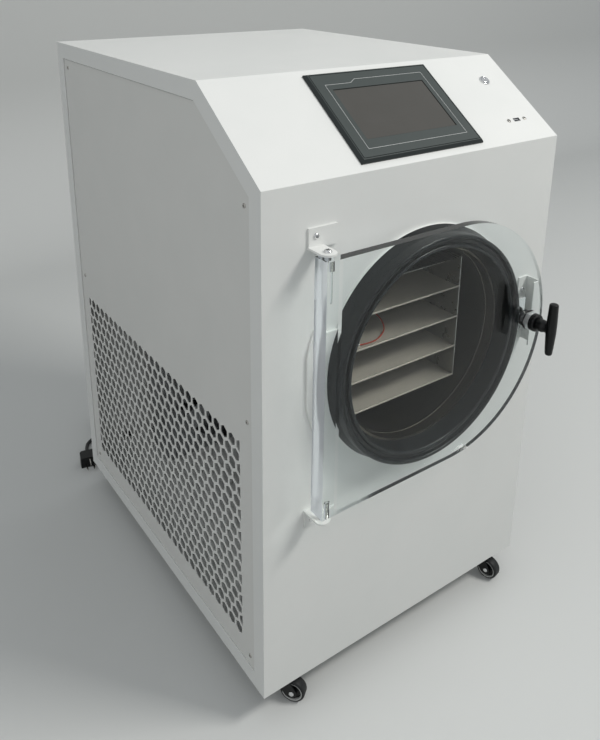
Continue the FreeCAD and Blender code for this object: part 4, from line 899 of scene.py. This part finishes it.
def makeBezel():
    wide, high, thick = touchPanel["size"]
    margin, width, depth = touchPanel["groove"]
    bezel = addBlock((-wide / 2, -high / 2, 0), (wide / 2, high / 2, thick))
    editMode(bezel, "EDGE")
    selectWhere(bezel, "EDGE", lambda middle, run: middle.z > thick * 0.9)
    bpy.ops.mesh.bevel(offset=touchPanel["chamfer"], segments=1, affect="EDGES")
    selectWhere(bezel, "FACE", lambda middle, normal: normal.z > 0.9 and abs(middle.z - thick) < 1e-5)
    bpy.ops.mesh.inset(thickness=margin)
    extrude(0, 0, -depth)
    bpy.ops.mesh.inset(thickness=width)
    extrude(0, 0, depth)
    rim = touchPanel["rim"]
    edge = 2 * (touchPanel["chamfer"] + margin + width + rim)
    bpy.ops.mesh.inset(thickness=rim)
    across, up = touchPanel["window"]
    bpy.ops.transform.resize(value=(across / (wide - edge), up / (high - edge), 1),
                             center_override=(0, 0, thick))
    extrude(0, 0, -touchPanel["recess"])
    selectWhere(bezel, "FACE", lambda middle, normal: normal.z < -0.9 and middle.z < thick / 4)
    body = touchPanel["body"]
    bpy.ops.mesh.inset(thickness=(wide - body[0]) / 2)
    extrude(0, 0, -body[2])
    objectMode()
    softenEdges(bezel, touchPanel["ease"], 1, cabinet["easeAngle"])
    placeMesh(bezel, onSlope(0, touchPanel["run"]))
    finish(bezel, "touch_panel_bezel", bezelPlastic, "cabinet", "dark_plastic", "touch_panel_housing")
    flat = Vector((0, -math.sin(slopeAngle), math.cos(slopeAngle)))
    # every face of the bezel that doesn't face straight out of the slope is painted darker, as shade on
    # the chamfer and the walls
    paintWhere(bezel, bezelRimPaintedShade, lambda middle, normal: normal.dot(flat) < 0.95)


def makeScreen():
    across, up = touchPanel["window"]
    thick = touchPanel["size"][2]
    play = touchPanel["glassPlay"]
    floor = thick - touchPanel["recess"] + touchPanel["glassLift"]
    glass = addBlock((-across / 2 + play, -up / 2 + play, floor),
                     (across / 2 - play, up / 2 - play, floor + touchPanel["glass"]))
    editMode(glass, "FACE")
    selectWhere(glass, "FACE", lambda middle, normal: normal.z > 0.9)
    bpy.ops.mesh.inset(thickness=touchPanel["glassBorder"])
    objectMode()
    placeMesh(softenEdges(glass, touchPanel["glassEase"], 1), onSlope(0, touchPanel["run"]))
    finish(glass, "touch_screen", glassSheet, "cabinet", "screen_glass", "touch_panel_screen")
    line = drawLine([(x, y, thick) for x, y in touchPanel["frame"]], closed=True)
    editMode(line)
    bpy.ops.mesh.edge_face_add()
    bpy.ops.mesh.select_mode(type="FACE")
    selectAll()
    bpy.ops.mesh.inset(thickness=touchPanel["line"])
    bpy.ops.mesh.delete(type="FACE")
    selectAll()
    extrude(0, 0, touchPanel["ink"])
    faceOutwards()
    placeMesh(line, onSlope(0, touchPanel["run"]))
    finish(line, "touch_panel_print", printWhite, "cabinet", "powder_coat")


makeBezel()
makeScreen()
print("touch panel fitted")

button = {
    "x": 0.2175,
    "run": 0.131,
    # radius and height of the corners of the ring and of the cap
    "ring": [(0, -0.022), (0.008, -0.022), (0.008, 0), (0.009, 0), (0.009, 0.002, 0.0008),
             (0.0072, 0.002, 0.0004), (0.0069, 0.0012, 0.0003), (0.00645, 0.0012), (0.00645, -0.0044),
             (0, -0.0044)],
    "cap": [(0, -0.0026), (0.0064, -0.0026), (0.0064, 0.0024, 0.0006), (0.0046, 0.0024, 0.0002),
            (0.0043, 0.0019, 0.0002), (0.0037, 0.0019, 0.0002), (0.0034, 0.0024, 0.0002), (0, 0.0024)],
    "portEase": 0.0003,
}


def makeButton():
    spot = onSlope(button["x"], button["run"])
    ring = turned(button["ring"], spot)
    finish(ring, "power_button_ring", chrome, "cabinet", "polished_steel", "power_button_housing")
    cap = turned(button["cap"], spot)
    finish(cap, "power_button_crown", chrome, "button", "polished_steel", "power_button_cap")
    easeNode("data_port", "data_port_shell", chrome, "cabinet", "polished_steel", button["portEase"])


makeButton()
print("button and port fitted")

chamber = {
    "z": 0.564,
    "radius": 0.150,
    "seal": [(0.153, 0.004), (0.183, 0.004), (0.177, 0.016, 0.012), (0.177, 0.0337, 0.0032),
             (0.170, 0.0337, 0.0032), (0.170, 0.026, 0.0015), (0.163, 0.026, 0.0015),
             (0.163, 0.031, 0.0026), (0.157, 0.031, 0.0026)],  # radius and height above the panel
    "beadDepth": 0.014,  # behind the panel's face
    "bead": (0.0022, 0.0011),  # half its width, and its height
    "beadShoulder": (0.6, 0.7),  # shares of those two
    "beadSink": 0.0004,  # how far its foot is let into the drum
    "ripples": 180,
    "waver": (41, 0.6),  # a slower wave, and its share of the ripples
    "rippleShare": 0.0009,  # height of a ripple, as a share of the radius
    "levels": (1, 2, 3, 4),
    "frameFold": 0.0007,
    "shelfFold": 0.0003,
}


def makeSeal():
    seal = turned(chamber["seal"], onPanel(0, chamber["z"]), 160, closed=True, angle=50)
    finish(seal, "moulded_door_seal", sealRubber, "cabinet", "seal_rubber", "door_seal")


def makeBead(name, depth):
    # a weld run round the inside of the drum, with the ripples that the welder's hand leaves
    (width, height), radius, ripples = chamber["bead"], chamber["radius"], chamber["ripples"]
    (along, up), foot = chamber["beadShoulder"], radius + chamber["beadSink"]
    slow, share = chamber["waver"]
    bead = turned([(foot, -width), (radius - height * up, -width * along), (radius - height, 0),
                   (radius - height * up, width * along), (foot, width)],
                  Matrix(), ripples * 4, closed=True)
    editMode(bead)
    mesh = bmesh.from_edit_mesh(bead.data)
    for vert in mesh.verts:
        reach = vert.co.to_2d().length
        if reach < radius:
            turn = math.atan2(vert.co.y, vert.co.x)
            wave = math.sin(turn * ripples) + share * math.sin(turn * slow)
            vert.co.xy *= 1 + chamber["rippleShare"] * wave
    bmesh.update_edit_mesh(bead.data)
    objectMode()
    placeMesh(bead, onPanel(0, chamber["z"], frontY + depth))
    finish(bead, name, beadSteel, "cabinet", "chamber_steel")


def makeRack():
    easeNode("rack_frame", "folded_rack_frame", rackSteel, "cabinet", "shelf_steel", chamber["frameFold"])
    for level in chamber["levels"]:
        node = f"shelf_{level}"
        shelf = easeNode(node, f"folded_{node}", shelfSteel, "cabinet", "shelf_steel",
                         chamber["shelfFold"])
        # the undersides are painted black as shade, to deepen the dark gaps between the shelves
        paintWhere(shelf, shelfUndersideShade, lambda spot, normal: normal.z < -0.9)


makeSeal()
makeBead("mouth_weld", chamber["beadDepth"])
makeRack()
print("chamber lined")

door = {
    "left": -0.210,
    "middle": 0.0335,  # centre of the half-round side
    "radius": 0.1895,
    "back": 0.034,  # the plate's rear face, in front of the panel
    "thick": 0.013,
    "barWidth": 0.030,
    "barDepth": 0.013,
    "latch": (0.191, 0.566),
    "latchHole": 0.0102,
    "pivot": (-0.195, -0.3415),
    "insertHole": 0.00455,
    "insertLength": 0.018,
    "pilot": (0.0016, 0.044),  # radius and depth of the drilled hole under the upper insert
    "edge": 0.0006,
    "overshoot": 0.01,  # how far a drill stands past the face that it enters
    "lap": 0.001,  # how far the pilot hole runs into the one above it
}


def addRod(radius, low, high, matrix, corners=48):
    deselectAll()
    bpy.ops.mesh.primitive_cylinder_add(vertices=corners, radius=radius, depth=high - low,
                                        location=(0, 0, (low + high) / 2))
    return placeMesh(bpy.context.object, matrix)


def makeDoor():
    # the plate and the bar glued behind it, as one clear body, because a good glue line in acrylic
    # can't be seen
    left, middle, radius, over = door["left"], door["middle"], door["radius"], door["overshoot"]
    half = [(middle + radius * math.sin(math.radians(a)), -radius * math.cos(math.radians(a)), 0)
            for a in range(0, 181, 2)]
    plate = drawLine([(left, -radius, 0), *half, (left, radius, 0)], closed=True)
    editMode(plate)
    bpy.ops.mesh.edge_face_add()
    split = left + door["barWidth"]
    bpy.ops.mesh.bisect(plane_co=(split, 0, 0), plane_no=(1, 0, 0))
    bpy.ops.mesh.select_mode(type="FACE")
    selectAll()
    extrude(0, 0, door["thick"])
    selectAll()
    bpy.ops.mesh.normals_make_consistent(inside=False)
    selectWhere(plate, "FACE", lambda spot, normal: spot.x < split and normal.z < -0.9)
    extrude(0, 0, -door["barDepth"])
    objectMode()
    back = frontY - door["back"]
    placeMesh(plate, onPanel(0, chamber["z"], back))
    cutOut(plate, addRod(door["latchHole"], -over, 3 * over, onPanel(*door["latch"], back)))
    low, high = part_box("door_hinge_bar")
    x, y = door["pivot"]
    reach = door["insertLength"] + over
    for foot in (low.z - over, high.z - door["insertLength"]):
        cutOut(plate, addRod(door["insertHole"], 0, reach, Matrix.Translation((x, y, foot))))
    radius, depth = door["pilot"]
    foot = high.z - door["insertLength"] - depth
    cutOut(plate, addRod(radius, 0, depth + door["lap"], Matrix.Translation((x, y, foot)), 16))
    softenEdges(plate, door["edge"], 2, 40)
    finish(plate, "clear_door", acrylic, "door", "clear_acrylic", "door_plate", "door_hinge_bar")
    paintWhere(plate, acrylicEdge, lambda spot, normal: abs(normal.y) < 0.9)
    paintWhere(plate, acrylicSawn, lambda spot, normal: normal.x < -0.9 and spot.x < left + nearly)
    paintWhere(plate, acrylicSeam, lambda spot, normal: normal.x > 0.9 and abs(spot.x - split) < nearly)


hinge = {
    "fold": 0.0006,
    "bore": 0.0031,
    "outside": 0.0045,
    "ease": 0.0003,
    "grooves": 5,
    "groove": (0.0041, 0.0012, 0.0003),  # radius, width and the run of its flanks
    "firstGroove": 0.0018,
    "pitch": 0.0026,
}


def makeHinge():
    for name in ("upper_hinge_bracket", "lower_hinge_bracket"):
        easeNode(name, name + "_painted", paint, "cabinet", "powder_coat", hinge["fold"], 3)
    low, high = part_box("hinge_spacer")
    bore, outside, top = hinge["bore"], hinge["outside"], high.z - low.z
    depth, width, flank = hinge["groove"]
    outline = [(bore, 0), (outside, 0, hinge["ease"])]
    for i in range(hinge["grooves"]):
        z = hinge["firstGroove"] + i * hinge["pitch"]
        outline += [(outside, z), (depth, z + flank), (depth, z + width - flank), (outside, z + width)]
    outline += [(outside, top, hinge["ease"]), (bore, top)]
    x, y = door["pivot"]
    spacer = turned(outline, Matrix.Translation((x, y, low.z)), 32, closed=True)
    finish(spacer, "grooved_spacer", screwSteel, "door", "black_plastic", "hinge_spacer")
    easeNode("latch_keeper", "latch_keeper_painted", paint, "cabinet", "powder_coat", hinge["fold"], 3)


makeDoor()
makeHinge()
print("door hung")

latch = {
    "nutEase": 0.0009,
    "collarEase": 0.0003,
    "camEase": 0.0005,
    "washer": (0.0104, 0.0158, 0.0010),
    "neckFoot": 0.0653,  # in front of the panel
    "neck": [(0, 0), (0.0098, 0), (0.0100, 0.0100, 0.002), (0.0080, 0.0150, 0.004),
             (0.0070, 0.0247), (0, 0.0247)],
    "grip": [(0, -0.043), (0.0054, -0.043, 0.003), (0.0066, -0.030, 0.02), (0.0080, -0.006, 0.03),
             (0.0081, 0.012, 0.03), (0.0070, 0.043, 0.0022), (0, 0.043)],
    "reach": 0.0247,  # from the neck's foot to the middle of the grip
    "voxel": 0.0008,
    "blend": (0.5, 6),  # strength and rounds of the smoothing where the neck meets the grip
}


def makeLatch():
    spot = onPanel(*door["latch"])
    easeNode("latch_nut", "latch_nut_plated", nutSteel, "door", "polished_steel", latch["nutEase"], 3)
    inner, outer, gauge = latch["washer"]
    foot = door["back"] + door["thick"]
    washer = turned([(inner, foot), (outer, foot), (outer, foot + gauge, 0.0004), (inner, foot + gauge)],
                    spot, 48, closed=True)
    finish(washer, "latch_washer", blackPlastic, "door", "black_plastic")
    easeNode("latch_collar", "latch_collar_moulded", blackPlastic, "door", "black_plastic",
             latch["collarEase"], 1)
    neck = turned(latch["neck"], spot @ Matrix.Translation((0, 0, latch["neckFoot"])), 48)
    top = Matrix.Translation((0, 0, latch["neckFoot"] + latch["reach"]))
    upright = spot @ top @ Matrix.Rotation(-math.pi / 2, 4, "X")
    handle = join([neck, turned(latch["grip"], upright, 48)])
    pick(handle)
    remesh = handle.modifiers.new("Blend", "REMESH")
    remesh.mode = "VOXEL"
    remesh.voxel_size = latch["voxel"]
    bpy.ops.object.modifier_apply(modifier="Blend")
    ease = handle.modifiers.new("Ease", "SMOOTH")
    ease.factor, ease.iterations = latch["blend"]
    bpy.ops.object.modifier_apply(modifier="Ease")
    bpy.ops.object.shade_smooth()
    finish(handle, "latch_grip", blackPlastic, "latch", "black_plastic", "latch_handle")
    easeNode("latch_cam_spindle", "latch_cam", chrome, "latch", "polished_steel", latch["camEase"])


makeLatch()
print("latch fitted")

wheel = {
    # radius and distance from the middle of the wheel
    "tyre": [(0.0164, -0.0088), (0.020, -0.009, 0.0035), (0.020, 0.009, 0.0035), (0.0164, 0.0088)],
    "rim": [(0.0145, -0.0082), (0.0164, -0.0090, 0.0005), (0.0164, 0.0090, 0.0005), (0.0145, 0.0082)],
    "core": [(0.0031, -0.009), (0.007, -0.009, 0.0006), (0.007, -0.005), (0.0145, -0.005),
             (0.0145, 0.005), (0.007, 0.005), (0.007, 0.009, 0.0006), (0.0031, 0.009)],
    "axle": [(0, -0.0130), (0.0042, -0.0130, 0.0014), (0.0042, -0.0117), (0.003, -0.0117),
             (0.003, 0.0117), (0.0042, 0.0117), (0.0042, 0.0130, 0.0014), (0, 0.0130)],
    "plateEase": 0.0004,
    "forkEase": 0.0007,
}


def makeCasters():
    easeNode("caster_plates", "caster_mounting_plates", zinc, "cabinet", "zinc_sheet",
             wheel["plateEase"], 1)
    for corner in ("front_left", "front_right", "rear_left", "rear_right"):
        roll = joints[f"{corner}_wheel_roll"]
        turn = Vector(roll["axis"]).to_track_quat("Z", "Y").to_matrix().to_4x4()
        spot = Matrix.Translation(roll["pos_m"]) @ turn
        body = f"{corner}_roller"
        tread = turned(wheel["tyre"], spot, closed=True)
        finish(tread, f"{corner}_tyre", tyre, body, "tyre_rubber", f"{corner}_wheel")
        rim = turned(wheel["rim"], spot, closed=True)
        finish(rim, f"{corner}_rim", rimPlastic, body, "dark_plastic")
        core = turned(wheel["core"], spot, 48, closed=True)
        finish(core, f"{corner}_core", blackPlastic, body, "black_plastic")
        easeNode(f"{corner}_fork", f"{corner}_swivel_fork", blackPlastic, f"{corner}_swivel",
                 "polished_steel", wheel["forkEase"])
        axle = turned(wheel["axle"], spot, 32)
        finish(axle, f"{corner}_axle", chrome, f"{corner}_swivel", "polished_steel")


makeCasters()
print("casters fitted")

plug = {
    "ease": 0.0007,
    "pinStart": 0.0005,  # the pins are bare metal from this far in front of the plug's face
}


def makePlug():
    tip, bend = Vector(lead["plugEnd"][-1]), Vector(lead["plugEnd"][-2])
    heading = (tip - bend).to_2d().normalized()
    face = tip.to_2d() + heading * lead["plugLength"]
    body = easeNode("mains_plug", "mains_plug_moulded", blackPlastic, "cabinet", "black_plastic",
                    plug["ease"])
    pins = plug["pinStart"]
    paintWhere(body, screwSteel, lambda spot, normal: (spot.to_2d() - face).dot(heading) > pins)


makePlug()
print("plug fitted")

# The solids whose shape is right keep it and get their finish.
finishes = {
    "chamber_drum": drumSteelPaintedShade, "chamber_back": drumSteelPaintedShade, "drum_insulation": softRubber,
    "sensor_gland": chrome, "sensor_probe": chrome, "pivot_inserts": insertMetal,
    "latch_barrel": blackPlastic, "compressor": enamel, "compressor_grommets": softRubber,
    "condenser": castAlloy, "fan_shroud": zinc, "fan_motor": enamel, "fan_rotor": castAlloy,
    "control_box": zinc, "vacuum_pipe": drumSteelPaintedShade, "refrigerant_pipes": copper,
    "cable_gland": blackPlastic,
}
for name, material in finishes.items():
    nodes[name].data.materials.clear()
    nodes[name].data.materials.append(material)
print("inner pieces finished")
